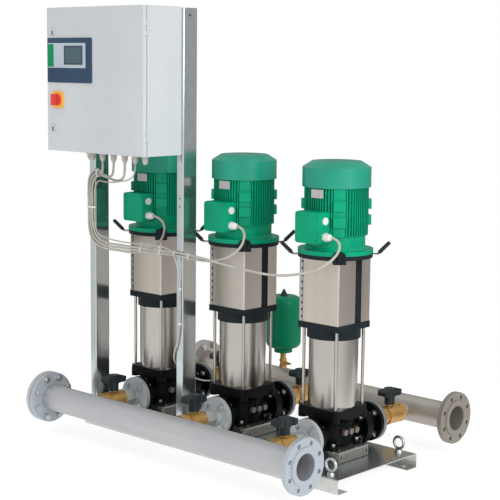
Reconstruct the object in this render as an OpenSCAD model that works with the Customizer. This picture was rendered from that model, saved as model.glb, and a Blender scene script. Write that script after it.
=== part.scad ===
// Booster pump set: three vertical multistage pumps side by side on a folded
// sheet-metal base, between a suction manifold and a discharge manifold, with a
// control cabinet on two posts and a diaphragm vessel on the discharge side.
// X runs along the manifolds, Y from suction to discharge, Z up. Millimetres.

/* [Base] */
// Distance between neighbouring pumps
pump_pitch = 500; // [460:5:600]
// Length of the base deck
deck_l = 1480; // [1420:5:1700]
// Width of the base deck
deck_w = 508; // [490:1:540]
// Height of the base deck
deck_h = 60; // [50:1:90]
// Sheet thickness of deck, pedestals and posts
sheet_t = 3; // [2:0.5:4]
// Width of the inward lower flanges of the deck
deck_lip = 62; // [50:1:80]
// Outside bend radius of the folded sheets
bend_r = 6; // [5:0.5:8]
// Diameter of the floor anchor holes
anchor_hole_d = 14; // [11:1:18]
// Pedestal width along the manifolds
pedestal_w = 230; // [215:1:250]
// Pedestal depth along the ports
pedestal_d = 186; // [180:1:200]
// Pedestal height above the deck
pedestal_h = 47; // [40:1:60]
// Outside diameter of a lifting ring
eye_d = 60; // [52:1:70]
// Wire diameter of a lifting ring
eye_wire_d = 12; // [10:1:14]

/* [Pump] */
// Height of the port axis above the pump foot
port_h = 47; // [46:1:52]
// Height from the pump foot to the barrel seat
base_h = 164; // [156:1:180]
// Distance between the two port faces
port_span = 300; // [290:1:340]
// Diameter of a port flange
port_flange_d = 165; // [160:1:175]
// Thickness of a port flange
port_flange_t = 18; // [14:1:22]
// Bolt circle of a port flange
port_pcd = 125; // [122:1:130]
// Bore of the ports
port_bore_d = 52; // [46:1:56]
// Width of the square top plate of the casing
plate_w = 208; // [204:1:216]
// Outside diameter of the pump barrel
barrel_d = 198.6; // [192:0.1:204]
// Height of the pump barrel
barrel_h = 278; // [250:1:400]
// Wall of the pump barrel
barrel_wall = 3; // [2:0.5:5]
// Diameter of a tie rod
rod_d = 13; // [10:1:16]
// Distance of a tie rod from the pump axis, along X and along Y
rod_offset = 84; // [83:0.5:87]
// Number of pump stages
stages = 5; // [3:1:6]
// Height of the round lower collar of the lantern
collar_h = 38; // [30:1:50]
// Height of the square band of the lantern
band_h = 25; // [20:1:40]
// Height of the coupling guards
guard_h = 260; // [230:1:300]
// Width of the square formed by the coupling guards
guard_w = 204; // [203:0.5:207]
// Sheet thickness of the coupling guards
guard_t = 1.5; // [1:0.5:2]
// Diameter of the lantern's top disc
lantern_disc_d = 297; // [290:1:300]
// Thickness of the lantern's top disc
lantern_disc_h = 17; // [14:1:22]
// Length of a carrying grip
grip_l = 60; // [40:1:80]
// Diameter of a carrying grip
grip_d = 16; // [13:1:20]

/* [Motor] */
// Diameter of the motor flange
motor_flange_d = 300; // [296:1:310]
// Thickness of the motor flange
motor_flange_h = 17; // [14:1:22]
// Diameter of the drive-end shield
shield_d = 235; // [225:1:245]
// Height of the drive-end shield
shield_h = 56; // [50:1:70]
// Diameter over the cooling fins
fin_d = 255; // [250:1:262]
// Height of the finned housing
fin_h = 188; // [170:1:240]
// Thickness of a cooling fin
fin_t = 3.5; // [2.5:0.5:4.5]
// Distance between neighbouring fins
fin_pitch = 11; // [9:0.5:13]
// Diameter of the housing under the fins
housing_d = 224; // [218:1:230]
// Outside diameter of the stator core
stator_d = 188; // [180:1:192]
// Diameter of the fan cover
cover_d = 272; // [270:1:284]
// Height of the fan cover
cover_h = 102; // [90:1:120]
// Width and height of the terminal box
terminal_w = 124; // [110:1:130]
// Distance from the motor axis to the front of the terminal box
terminal_reach = 176; // [168:1:190]

/* [Manifolds] */
// Length of a manifold
manifold_l = 1500; // [1460:5:1800]
// Distance from the middle pump to the open end of the manifolds
manifold_lead = 740; // [720:5:900]
// Outside diameter of the manifold pipe
pipe_d = 114.3; // [110:0.1:120]
// Wall of the manifold pipe
pipe_wall = 3.6; // [3:0.1:5]
// Diameter of a manifold flange
manifold_flange_d = 220; // [215:1:230]
// Thickness of a manifold flange
manifold_flange_t = 20; // [16:1:24]
// Bolt circle of a manifold flange
manifold_pcd = 180; // [178:1:184]
// Diameter of the flange bolt holes
flange_hole_d = 18; // [17:0.5:19]
// Diameter of the raised collar in a manifold flange
collar_d = 150; // [146:1:154]
// How far the raised collar stands out of its flange
collar_proud = 4; // [2:0.5:6]
// Bore of the raised collar
collar_bore_d = 104; // [98:1:106]
// Thickness of a blind flange
blind_t = 20; // [16:1:24]

/* [Valves] */
// Length of a ball valve
valve_l = 150; // [140:1:170]
// Diameter of a ball valve body
valve_d = 82; // [80:1:90]
// Width across flats of the valve ends
valve_af = 74; // [70:1:78]
// Length of the hexagon nipple between flange and valve
nipple_l = 30; // [24:1:40]
// Length of the hub behind a companion flange
hub_l = 18; // [14:1:24]
// Length of the branch stubs on the manifolds
stub_l = 20; // [16:1:30]
// Length of the check valve
check_l = 91; // [88:1:110]
// Diameter of the ball
ball_d = 66; // [62:1:67]
// Bore of the ball
ball_bore_d = 48; // [44:1:49]
// Length of a valve handle
handle_l = 112; // [104:1:120]
// Width of a valve handle
handle_w = 52; // [48:1:58]
// Height of the wings of a valve handle
handle_h = 38; // [30:1:44]
// Lift of the check valve disc
disc_lift = 12; // [8:1:13]

/* [Cabinet] */
// Width of the control cabinet
cabinet_w = 600; // [560:1:640]
// Height of the control cabinet
cabinet_h = 600; // [560:1:700]
// Depth of the cabinet body
cabinet_d = 189; // [170:1:230]
// Depth of the cabinet door
door_d = 20; // [16:1:26]
// Gap between door and body
door_seam = 3; // [2:0.5:4]
// Sheet thickness of cabinet and door
cabinet_t = 2; // [1.5:0.5:3]
// Height of the cabinet's underside above the floor
cabinet_z = 1250; // [1240:5:1300]
// Distance from the middle pump to the cabinet's right side
cabinet_right = 118; // [100:1:130]
// Width of a post
post_w = 40; // [36:1:50]
// Depth of a post
post_d = 80; // [70:1:90]
// Distance between the centres of the posts
post_pitch = 552; // [520:1:560]
// Shift of the posts to the right of the cabinet's middle
post_shift = 16; // [0:1:20]

/* [Vessel] */
// Diameter of the diaphragm vessel
vessel_d = 163; // [150:1:170]
// Height of the vessel's shell
vessel_h = 245; // [220:1:300]
// Distance of the vessel from the middle pump, along the manifold
vessel_offset = 239; // [200:1:280]

/* [Hidden] */
$fn = 64;
// Clearance of a running fit, of a loose seat and of a bolt in its hole
running = 0.05;
seat = 0.2;
bolt_play = 1;

galvanised = "#b9bfc2";
stainless = "#b8b2ab";
flange_grey = "#aeb4bb";
casting_black = "#1a1d20";
motor_green = "#00916a";
brass = "#c79a4f";
sheet_grey = "#d2d7db";
plastic_black = "#2c3438";
cable_grey = "#c9c8c2";
steel = "#c4c8cc";

pumps = [1, 2, 3];

// Heights, from the floor up
foot_z = deck_h + pedestal_h;
port_z = foot_z + port_h;
plate_z = foot_z + base_h;
lantern_z = plate_z + barrel_h;
band_z = lantern_z + collar_h;
guard_z = band_z + band_h;
disc_z = guard_z + guard_h;
motor_z = disc_z + lantern_disc_h;
shield_z = motor_z + motor_flange_h;
fin_z = shield_z + shield_h;
cover_z = fin_z + fin_h;

// Places along the ports: each chain starts at a port face
port_face = port_span / 2;
branch_l = port_flange_t + hub_l + nipple_l + valve_l + stub_l;
suction_y = -(port_face + branch_l + pipe_d / 2);
discharge_y = port_face + check_l + branch_l + pipe_d / 2;
valve_from_flange = port_flange_t + hub_l + nipple_l;
suction_valve_y = -(port_face + valve_from_flange + valve_l / 2);
discharge_valve_y = port_face + check_l + valve_from_flange + valve_l / 2;

// Ends of the manifolds
open_x = manifold_lead;
blind_x = manifold_lead - manifold_l;

// Metric fasteners: across flats, head height and nut height
m16_af = 24;
m16_head = 10;
m16_nut = 13;
m12_af = 19;
m12_head = 8;
m12_nut = 10;

// The origin lies on the floor under the middle of the whole set
reach_left = blind_x - blind_t - m16_head;
set_middle_x = (open_x + reach_left) / 2;
set_middle_y = (suction_y + discharge_y) / 2;

// Base details
anchor_dx = deck_l - 80;
anchor_dy = deck_w - deck_lip;
eye_x = [-(deck_l / 2 - 128), deck_l / 2 - 64];
eye_dy = deck_w - 74;
eye_thread_d = 16;
foot_bolt_x = 66;
foot_bolt_y = 74;
foot_bolt_d = 12;
foot_t = 16;
pedestal_lip = 20;
tab_w = 20;

// Casing details
plate_t = 14;
port_pipe_d = 92;
casing_r = 86;
ear_r = 26;
plug_x = 78;
plug_z = port_z + 16;
plug_y = [-22, 14, 49];
plug_af = 24;
plug_l = 14;
boss_h = 36;

// Wet end
stage_d = 150;
stage_h = barrel_h / (stages + 0.5);
stage_wall = 4;
shaft_d = 20;
impeller_d = 122;
impeller_h = 20;
eye_bore_d = 52;
seal_d = 60;

// Coupling and motor
coupling_d = 72;
coupling_h = 110;
coupling_z = guard_z + 70;
motor_shaft_d = 28;
tail_shaft_d = 24;
core_z = fin_z + 23;
core_h = 140;
core_d = 110;
air_gap = 0.6;
motor_bearing_d = 62;
tail_bearing_d = 52;
bearing_h = 16;
end_shield_h = 18;
cover_wall = 2;
fan_d = 190;
fan_h = 28;
wall_x = 80;
wall_y = 45;
guard_r = 8;
stripe_from = 4;
stripe_to = 43;

// Terminal box: seat on the housing, and its lid
terminal_seat = housing_d / 2;
terminal_z = shield_z + 31;
lid_t = 10;
gland_out = 36;
gland_y = -(terminal_seat + terminal_reach) / 2;
gland_z = terminal_z + 28;
blank_z = terminal_z + 90;

// Holes of the blind ends, which fit their bolts closely
blind_hole_d = flange_hole_d - 1;

// Lugs and carrying handles of the lantern disc; the lugs stand clear of the guard and of the motor flange
lug_in = max(guard_w / sqrt(2) - guard_r * (sqrt(2) - 1), motor_flange_d / 2) + 0.6;
lug_out = lug_in + 12;
lug_z = disc_z - 13;
lug_top = motor_z + 17;
lug_boss_top = lug_top + 1;
pin_d = 8;
pin_to = lantern_disc_d / 2 + 20;

// Valve details
valve_top = valve_d / 2 + 5;
stem_d = 14;
hub_d = 44;
handle_neck = 32;
handle_z = port_z + valve_top + handle_neck;
end_l = 28;

// Cabinet places
cabinet_x = -(cabinet_right + cabinet_w / 2);
post_front = -deck_w / 2;
door_back = post_front - cabinet_d - door_seam;
door_front = door_back - door_d;
post_top = cabinet_z + cabinet_h - 3;
rim_w = 16;
gear_gap = 30;
gear_front = post_front - cabinet_t - gear_gap - 3;
gasket_in = 6;
gasket_gap = 0.3;
hinge_d = 8;
hinge_pin_d = 4;
hinge_l = 60;
hinge_x = -cabinet_right + hinge_d / 2;
hinge_y = door_back + door_seam / 2;
hinge_z = [cabinet_z + 90, cabinet_z + cabinet_h - 90];
lock_x = cabinet_x - cabinet_w / 2 + 40;
lock_z = [cabinet_z + 98, cabinet_z + cabinet_h - 99];
lock_d = 24;
switch_x = cabinet_x - cabinet_w / 2 + 71;
fascia_w = 286;
fascia_h = 186;
fascia_x = cabinet_x - cabinet_w / 2 + 149;
fascia_z = cabinet_z + cabinet_h - 219;
switch_z = fascia_z - 165;
gland_x = [-550, -480, -410, -340, -275, -215];
gland_row_y = -365;

// Vessel chain, from the manifold up
vessel_x = -vessel_offset;
socket_top = port_z + pipe_d / 2 + 4;
cock_h = 40;
vessel_pipe_h = 33;
vessel_collar_h = 22;
vessel_z = socket_top + cock_h + vessel_pipe_h + vessel_collar_h;
sensor_x = 60;
sensor_h = 62;

// Cables: diameters, and routes through hand-chosen points
motor_cable_d = 10;
sensor_cable_d = 6;
gland_exit_z = cabinet_z - 40;

// Points along an arc
function arc(cx, cy, r, from, to, steps = 6) =
    [for (i = [0:steps])
        let (a = from + (to - from) * i / steps)
        [cx + r * cos(a), cy + r * sin(a)]];

// Outline of a rectangle with round corners, centred
function round_rect(w, d, r) = concat(
    arc(w / 2 - r, d / 2 - r, r, 0, 90),
    arc(-w / 2 + r, d / 2 - r, r, 90, 180),
    arc(-w / 2 + r, -d / 2 + r, r, 180, 270),
    arc(w / 2 - r, -d / 2 + r, r, 270, 360));

// A plate with round corners, standing on z = 0
module round_plate(w, d, h, r) {
    linear_extrude(h) polygon(round_rect(w, d, r));
}

module set_frame() {
    translate([-set_middle_x, -set_middle_y, 0]) children();
}

module at_pump(n) {
    translate([(n - 2) * pump_pitch, 0, 0]) children();
}

// Turns +Z to +Y, to +X, and to -Y
module along_y() {
    rotate([-90, 0, 0]) children();
}

module along_x() {
    rotate([0, 90, 0]) children();
}

module along_minus_y() {
    rotate([90, 0, 0]) children();
}

module at_corners(dx, dy) {
    for (x = [-1, 1], y = [-1, 1])
        translate([x * dx, y * dy, 0]) children();
}

module on_circle(pcd, count) {
    for (i = [0:count - 1])
        rotate([0, 0, 360 * (i + 0.5) / count]) translate([pcd / 2, 0, 0]) children();
}

module ring(od, id, h) {
    difference() {
        cylinder(d = od, h = h);
        translate([0, 0, -1]) cylinder(d = id, h = h + 2);
    }
}

// A hexagon by its width across flats
module hexagon(af, h) {
    cylinder(d = af / cos(30), h = h, $fn = 6);
}

// Bolt with its nut: the head sits on z = 0 and the nut under z = -grip
module bolt_and_nut(d, grip, af, head, nut) {
    tail = 4;
    hexagon(af, head);
    translate([0, 0, -grip - nut - tail]) cylinder(d = d, h = grip + nut + tail + head / 2);
    translate([0, 0, -grip - nut]) hexagon(af, nut);
}

// Section of a folded sheet, open at the bottom between two inward flanges
module folded_section(w, h, lip) {
    translate([0, h / 2])
        difference() {
            polygon(round_rect(w, h, bend_r));
            polygon(round_rect(w - 2 * sheet_t, h - 2 * sheet_t, bend_r - sheet_t));
            translate([0, -h / 2]) square([w - 2 * lip, 3 * sheet_t], center = true);
        }
}

// Deck: one folded sheet, with anchor holes below and lifting eye holes above
module base_deck() {
    color(galvanised)
        difference() {
            translate([-deck_l / 2, 0, 0])
                rotate([90, 0, 90]) linear_extrude(deck_l) folded_section(deck_w, deck_h, deck_lip);
            at_corners(anchor_dx / 2, anchor_dy / 2)
                translate([0, 0, -1]) cylinder(d = anchor_hole_d, h = sheet_t + 2);
            at_eyes()
                translate([0, 0, deck_h - 2 * sheet_t])
                    cylinder(d = eye_thread_d + bolt_play, h = 3 * sheet_t);
        }
}

// One folded pedestal per pump, with corner tabs, slots for shifting and side holes
module pedestal() {
    spare_x = pedestal_w / 2 - 23;
    spare_y = pedestal_d / 2 - 31;
    side_y = pedestal_d / 2 - 12;
    difference() {
        union() {
            translate([0, pedestal_d / 2, deck_h])
                rotate([90, 0, 0])
                    linear_extrude(pedestal_d) folded_section(pedestal_w, pedestal_h, pedestal_lip);
            at_corners(pedestal_w / 2 - sheet_t - tab_w / 2 + 0.5, pedestal_d / 2 - sheet_t / 2)
                translate([-tab_w / 2, -sheet_t / 2, deck_h])
                    cube([tab_w, sheet_t, pedestal_h - sheet_t + 0.5]);
        }
        at_corners(foot_bolt_x, foot_bolt_y)
            translate([0, 0, foot_z - 2 * sheet_t])
                cylinder(d = foot_bolt_d + bolt_play, h = 3 * sheet_t);
        at_corners(spare_x, spare_y)
            translate([0, 0, foot_z - 2 * sheet_t]) cylinder(d = 16, h = 3 * sheet_t);
        at_corners(pedestal_w / 2 - 2 * sheet_t, side_y)
            translate([0, 0, deck_h + pedestal_h / 2])
                rotate([0, 90, 0]) cylinder(d = 10, h = 6 * sheet_t, center = true);
    }
}

module pump_pedestals() {
    color(galvanised)
        for (n = pumps) at_pump(n) pedestal();
}

// Places of the lifting eyes; the left pair stands clear of the left post
module at_eyes() {
    for (x = eye_x, side = [-1, 1])
        translate([x, side * eye_dy / 2, 0]) children();
}

// Lifting eyes: ring, collar and a threaded shank with a nut under the deck
module lifting_eyes() {
    collar = 12;
    shank = 30;
    ring_r = (eye_d - eye_wire_d) / 2;
    color(steel)
        at_eyes()
            translate([0, 0, deck_h]) {
                translate([0, 0, collar + eye_d / 2 - 2])
                    rotate([90, 0, 0]) rotate_extrude() translate([ring_r, 0]) circle(d = eye_wire_d);
                cylinder(d1 = 34, d2 = 26, h = collar);
                translate([0, 0, -shank]) cylinder(d = eye_thread_d, h = shank + 1);
                translate([0, 0, -sheet_t - m16_nut]) hexagon(m16_af, m16_nut);
            }
}

// Posts: channels open to the left, each on a foot plate
module panel_posts() {
    foot = 6;
    foot_w = post_w + 24;
    channel_lip = 14;
    hole_d = 12;
    color(galvanised)
        for (side = [-1, 1])
            translate([cabinet_x + post_shift + side * post_pitch / 2, post_front + post_d / 2, deck_h]) {
                difference() {
                    linear_extrude(post_top - deck_h)
                        difference() {
                            polygon(round_rect(post_w, post_d, bend_r));
                            polygon(round_rect(post_w - 2 * sheet_t, post_d - 2 * sheet_t,
                                               bend_r - sheet_t));
                            translate([-post_w / 2, 0])
                                square([3 * sheet_t, post_d - 2 * channel_lip], center = true);
                        }
                    translate([post_w / 2, -2, post_top - deck_h - 30])
                        rotate([0, 90, 0]) cylinder(d = hole_d, h = 4 * sheet_t, center = true);
                    for (z = [0, 34])
                        translate([0, -post_d / 2, cabinet_z - deck_h - 180 - z])
                            rotate([90, 0, 0]) cylinder(d = 8, h = 4 * sheet_t, center = true);
                }
                translate([0, post_d / 2 + 15, 0])
                    difference() {
                        translate([-foot_w / 2, -15, 0]) cube([foot_w, 40, foot]);
                        for (x = [-1, 1])
                            translate([x * 18, 8, -1]) cylinder(d = 11, h = foot + 2);
                    }
            }
}

// Port flange with its bolt holes, from z = 0 up
module port_flange() {
    difference() {
        cylinder(d = port_flange_d, h = port_flange_t);
        on_circle(port_pcd, 4)
            translate([0, 0, -1]) cylinder(d = flange_hole_d, h = port_flange_t + 2);
    }
}

// Outline of the foot: a round sole with an arm to each of four bolt lugs
module foot_outline() {
    arm_w = 34;
    difference() {
        union() {
            circle(r = casing_r - 18);
            at_corners(foot_bolt_x, foot_bolt_y) circle(d = 46);
            for (side = [-1, 1])
                rotate([0, 0, side * atan2(foot_bolt_y, foot_bolt_x)])
                    square([2 * norm([foot_bolt_x, foot_bolt_y]), arm_w], center = true);
        }
        at_corners(foot_bolt_x, foot_bolt_y) circle(d = foot_bolt_d + bolt_play);
    }
}

// Cast pump casing: feet, in-line ports, neck with four tie rod ears
module casing_form() {
    rotate_extrude()
        polygon([[0, foot_z + 5], [casing_r - 12, foot_z + 5], [casing_r - 5, foot_z + 13],
                 [casing_r, port_z], [casing_r - 4, port_z + 40], [casing_r + 2, plate_z - 60],
                 [casing_r + 10, plate_z - plate_t + 2], [0, plate_z - plate_t + 2]]);
    translate([0, 0, foot_z]) linear_extrude(foot_t) foot_outline();
    for (side = [0, 180])
        rotate([0, 0, side])
            translate([0, 0, port_z])
                along_y() {
                    cylinder(d = port_pipe_d, h = port_face - 1);
                    translate([0, 0, port_face - port_flange_t]) port_flange();
                }
    translate([0, 0, plate_z - plate_t]) round_plate(plate_w, plate_w, plate_t, ear_r);
    intersection() {
        translate([0, 0, plate_z - 70]) round_plate(plate_w - 1, plate_w - 1, 70 - plate_t + 2, ear_r);
        translate([0, 0, plate_z - 75])
            cylinder(r1 = casing_r - 18, r2 = plate_w * 0.74, h = 75 - plate_t + 4);
    }
    at_corners(rod_offset, rod_offset)
        translate([0, 0, plate_z - plate_t - boss_h]) cylinder(d = 38, h = boss_h + 1);
    translate([0, casing_r - 2, port_z + 5]) cylinder(d = 42, h = plate_z - plate_t - port_z - 4);
    translate([casing_r - 30, plug_y[0] - 20, plug_z - 17])
        cube([plug_x - casing_r + 33, plug_y[2] - plug_y[0] + 40, 34]);
}

module pump_base() {
    chamber_d = 70;
    riser_d = 20;
    color(casting_black)
        difference() {
            casing_form();
            translate([0, 0, port_z])
                along_minus_y() cylinder(d = port_bore_d, h = port_face + 1);
            translate([0, casing_r - 2, port_z])
                along_y() cylinder(d = port_bore_d, h = port_face);
            translate([0, 0, port_z - port_bore_d / 2 - 5])
                cylinder(d = chamber_d, h = plate_z);
            translate([0, casing_r, port_z + 8]) cylinder(d = riser_d, h = plate_z);
            at_corners(rod_offset, rod_offset)
                translate([0, 0, plate_z - plate_t - boss_h + 10]) cylinder(d = rod_d + seat, h = plate_z);
            translate([plug_x, plug_y[0] - 22, plug_z - 19])
                cube([casing_r, plug_y[2] - plug_y[0] + 44, 38]);
            for (y = plug_y)
                translate([plug_x + 1, y, plug_z])
                    rotate([0, -90, 0]) cylinder(d = 13, h = 15);
        }
}

// Outer barrels around the pump stages
module pump_barrels() {
    color(stainless)
        for (n = pumps)
            at_pump(n) translate([0, 0, plate_z]) ring(barrel_d, barrel_d - 2 * barrel_wall, barrel_h);
}

// Stage casings: a stack of cups with a closing cover
module stage_casings() {
    floor_t = 5;
    cover_t = barrel_h - stages * stage_h;
    color(stainless)
        for (n = pumps)
            at_pump(n) translate([0, 0, plate_z]) {
                for (i = [0:stages - 1])
                    translate([0, 0, i * stage_h])
                        rotate_extrude()
                            polygon([[eye_bore_d / 2, 0], [stage_d / 2, 0], [stage_d / 2, stage_h],
                                     [stage_d / 2 - stage_wall, stage_h],
                                     [stage_d / 2 - stage_wall, floor_t], [eye_bore_d / 2, floor_t]]);
                translate([0, 0, stages * stage_h]) ring(stage_d, eye_bore_d, cover_t);
            }
}

// Lantern: collar and square band below, two walls, disc with lugs above
module pump_lantern() {
    lug_w = 54;
    disc_r = lantern_disc_d / 2;
    color(casting_black)
        difference() {
            union() {
                translate([0, 0, lantern_z]) cylinder(d = barrel_d + 17, h = collar_h);
                translate([0, 0, band_z]) round_plate(guard_w + 6, guard_w + 6, band_h, guard_r + 3);
                for (x = [-1, 1])
                    translate([x * (wall_x + 9.5), 0, guard_z + guard_h / 2])
                        cube([19, 2 * wall_y, guard_h + 2], center = true);
                translate([0, 0, disc_z]) cylinder(r = disc_r, h = lantern_disc_h);
                for (a = [-45, 135])
                    rotate([0, 0, a]) {
                        translate([disc_r - 14, -lug_w / 2 + 3, disc_z + 2])
                            cube([lug_out - disc_r + 10, lug_w - 6, lantern_disc_h - 4]);
                        translate([lug_in, 0, 0])
                            rotate([90, 0, 90])
                                linear_extrude(lug_out - lug_in)
                                    polygon(lug_outline(lug_w));
                        translate([lug_out, 0, lug_z + 5]) cylinder(d = 22, h = lug_boss_top - lug_z - 5);
                    }
            }
            translate([0, 0, lantern_z - 1]) cylinder(d = seal_d, h = collar_h + band_h + 2);
            translate([0, 0, disc_z - 1]) cylinder(d = 130, h = lantern_disc_h + 2);
            at_corners(rod_offset, rod_offset)
                translate([0, 0, band_z - 1]) cylinder(d = rod_d + seat, h = band_h + 2);
            for (a = [45, 225])
                rotate([0, 0, a])
                    translate([disc_r - 22, 0, disc_z + lantern_disc_h / 2])
                        along_x() cylinder(d = 8 + seat, h = 30);
            for (a = [-45, 135])
                rotate([0, 0, a])
                    translate([lug_out, 0, lug_boss_top - 22]) cylinder(d = 8 + seat, h = 30);
        }
}

// A lug from the front: a broad foot, sloped shoulders and a round top
function lug_outline(w) = concat(
    [[-w / 2, lug_z + 3], [-w / 2 + 4, lug_z], [w / 2 - 4, lug_z], [w / 2, lug_z + 3],
     [w / 2 - 2, motor_z - 2]],
    arc(w / 2 - 14, lug_top - 11, 11, 10, 90),
    arc(-w / 2 + 14, lug_top - 11, 11, 90, 170),
    [[-w / 2 + 2, motor_z - 2]]);

// Tie rods with a nut on top of the lantern band
module tie_rods() {
    rod_foot = plate_z - plate_t - boss_h + 10;
    nut_af = rod_d + 6;
    color(steel)
        for (n = pumps)
            at_pump(n)
                at_corners(rod_offset, rod_offset) {
                    translate([0, 0, rod_foot]) cylinder(d = rod_d, h = guard_z + 16 - rod_foot);
                    translate([0, 0, guard_z]) hexagon(nut_af, 11);
                }
}

// Coupling guards: a wide front sheet and a narrower rear sheet, with a gap at each side
module coupling_guards() {
    big = 2 * guard_w;
    slots = 9;
    color(stainless)
        for (n = pumps)
            at_pump(n) translate([0, 0, guard_z]) {
                difference() {
                    linear_extrude(guard_h)
                        intersection() {
                            guard_section();
                            translate([-big / 2, stripe_from - big]) square([big, big]);
                        }
                    for (i = [0:slots - 1])
                        translate([-guard_w / 2 + 18, -guard_w / 2, guard_h * (i + 0.7) / (slots + 0.4)])
                            cube([6, 4 * guard_t, 10], center = true);
                }
                linear_extrude(guard_h)
                    intersection() {
                        guard_section();
                        translate([-big / 2, stripe_to]) square([big, big]);
                    }
            }
}

module guard_section() {
    inner = guard_w - 2 * guard_t;
    difference() {
        polygon(round_rect(guard_w, guard_w, guard_r));
        polygon(round_rect(inner, inner, guard_r - guard_t));
    }
}

// Carrying handles: a bent steel pin in the lantern disc, with a round grip on it
module at_handles() {
    for (n = pumps, a = [45, 225])
        at_pump(n) rotate([0, 0, a]) translate([0, 0, disc_z + lantern_disc_h / 2]) children();
}

module handle_pins() {
    pin_from = lantern_disc_d / 2 - 20;
    color(steel)
        at_handles() {
            translate([pin_from, 0, 0]) along_x() cylinder(d = pin_d, h = pin_to - pin_from);
            translate([pin_to, 0, 0]) sphere(d = pin_d + 1.5);
            translate([pin_to, 0, 0]) rotate([0, 45, 0]) cylinder(d = pin_d, h = grip_l);
        }
}

module handle_grips() {
    color(plastic_black)
        at_handles()
            translate([pin_to, 0, 0]) rotate([0, 45, 0]) translate([0, 0, 8])
                difference() {
                    union() {
                        cylinder(d = grip_d, h = grip_l - 4);
                        translate([0, 0, grip_l - 4]) cylinder(d1 = grip_d, d2 = grip_d - 6, h = 4);
                    }
                    translate([0, 0, -1]) cylinder(d = pin_d + seat, h = grip_l - 7);
                }
}

// Section of the motor housing: a tube with four groups of parallel fins and corner bosses
module housing_section() {
    fins_each_side = floor(0.66 * fin_d / 2 / fin_pitch);
    boss_w = 46;
    intersection() {
        circle(d = fin_d);
        union() {
            circle(d = housing_d);
            for (i = [-fins_each_side:fins_each_side], a = [0, 90])
                rotate([0, 0, a]) translate([i * fin_pitch, 0]) square([fin_t, fin_d], center = true);
            for (a = [45, 135])
                rotate([0, 0, a]) square([boss_w, fin_d], center = true);
        }
    }
}

// Motor frame: flange, drive-end shield, finned housing, foot pads; then the rear end shield
module motor_frame() {
    pad_w = 48;
    pad_h = 38;
    pad_out = fin_d / 2 + 10;
    bore_z = shield_z + 30;
    color(motor_green) {
        difference() {
            union() {
                translate([0, 0, motor_z]) cylinder(d = motor_flange_d, h = motor_flange_h);
                translate([0, 0, shield_z - 1])
                    cylinder(d1 = shield_d + 16, d2 = shield_d, h = 12);
                translate([0, 0, shield_z]) cylinder(d = shield_d, h = shield_h + 1);
                translate([0, 0, fin_z]) linear_extrude(fin_h) housing_section();
                for (a = [45, 135, 225, 315], z = [38, 101])
                    rotate([0, 0, a])
                        translate([housing_d / 2 - 6, -pad_w / 2, fin_z + z])
                            cube([pad_out - housing_d / 2 + 6, pad_w, pad_h]);
            }
            translate([0, 0, bore_z]) cylinder(d = stator_d + 2 * seat, h = fin_h + shield_h);
            translate([0, 0, bore_z - bearing_h]) cylinder(d = motor_bearing_d, h = bearing_h + 1);
            translate([0, 0, motor_z - 1]) cylinder(d = motor_shaft_d + 8, h = 60);
            translate([-terminal_w / 2 - 1, -fin_d, terminal_z - 1])
                cube([terminal_w + 2, fin_d - terminal_seat, terminal_w + 2]);
        }
        translate([0, 0, cover_z])
            difference() {
                cylinder(d = cover_d - 2 * cover_wall - 2 * seat, h = end_shield_h);
                translate([0, 0, -1]) cylinder(d = tail_bearing_d, h = bearing_h + 1);
                cylinder(d = tail_shaft_d + 6, h = 2 * end_shield_h);
            }
    }
}

// Stator cores with their end windings
module motor_stators() {
    winding_h = 18;
    color("#8a5a34")
        for (n = pumps)
            at_pump(n) {
                translate([0, 0, core_z]) ring(stator_d, core_d + 2 * air_gap, core_h);
                for (z = [core_z - winding_h, core_z + core_h])
                    translate([0, 0, z]) ring(stator_d - 20, core_d + 14, winding_h);
            }
}

// Fan covers with a ring of air slots in the top
module motor_fan_covers() {
    color(motor_green)
        for (n = pumps) at_pump(n) translate([0, 0, cover_z]) fan_cover();
}

module fan_cover() {
    r = cover_d / 2;
    w = cover_wall;
    cone_w = 37;
    cone_h = 25;
    difference() {
        rotate_extrude()
            polygon([[r - w, 0], [r, 0], [r, cover_h - cone_h], [r - cone_w, cover_h - 1.5],
                     [r - cone_w - 22, cover_h], [0, cover_h], [0, cover_h - w], [r - cone_w - 22, cover_h - w],
                     [r - cone_w - 1, cover_h - 1.5 - w], [r - w, cover_h - cone_h - 1]]);
        for (ring_no = [1:3])
            for (i = [0:5 * ring_no - 1])
                rotate([0, 0, 360 * i / (5 * ring_no)])
                    translate([18 * ring_no, 0, cover_h]) cube([9, 16, 20], center = true);
    }
}

// Terminal boxes with their lids
module motor_terminal_boxes() {
    box_d = terminal_reach - lid_t - terminal_seat;
    color(motor_green)
        for (n = pumps)
            at_pump(n) translate([0, -terminal_seat, terminal_z + terminal_w / 2])
                along_minus_y() {
                    round_plate(terminal_w, terminal_w, box_d, 10);
                    translate([0, 0, box_d]) round_plate(terminal_w - 1, terminal_w - 1, lid_t, 12);
                }
}

// Cable gland on a terminal box, and a blank plug above it
module motor_cable_glands() {
    color(cable_grey)
        for (n = pumps)
            at_pump(n) {
                translate([terminal_w / 2, gland_y, gland_z]) along_x() cable_gland(30, gland_out);
                translate([terminal_w / 2, gland_y, blank_z]) along_x() cylinder(d = 30, h = 6);
            }
}

// Gland: hexagon body, and a cap nut that narrows to the cable
module cable_gland(af, l) {
    hexagon(af, 0.35 * l);
    translate([0, 0, 0.35 * l]) cylinder(d = af - 2, h = 0.35 * l);
    translate([0, 0, 0.7 * l]) cylinder(d1 = af - 2, d2 = 0.55 * af, h = 0.3 * l);
}

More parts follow.
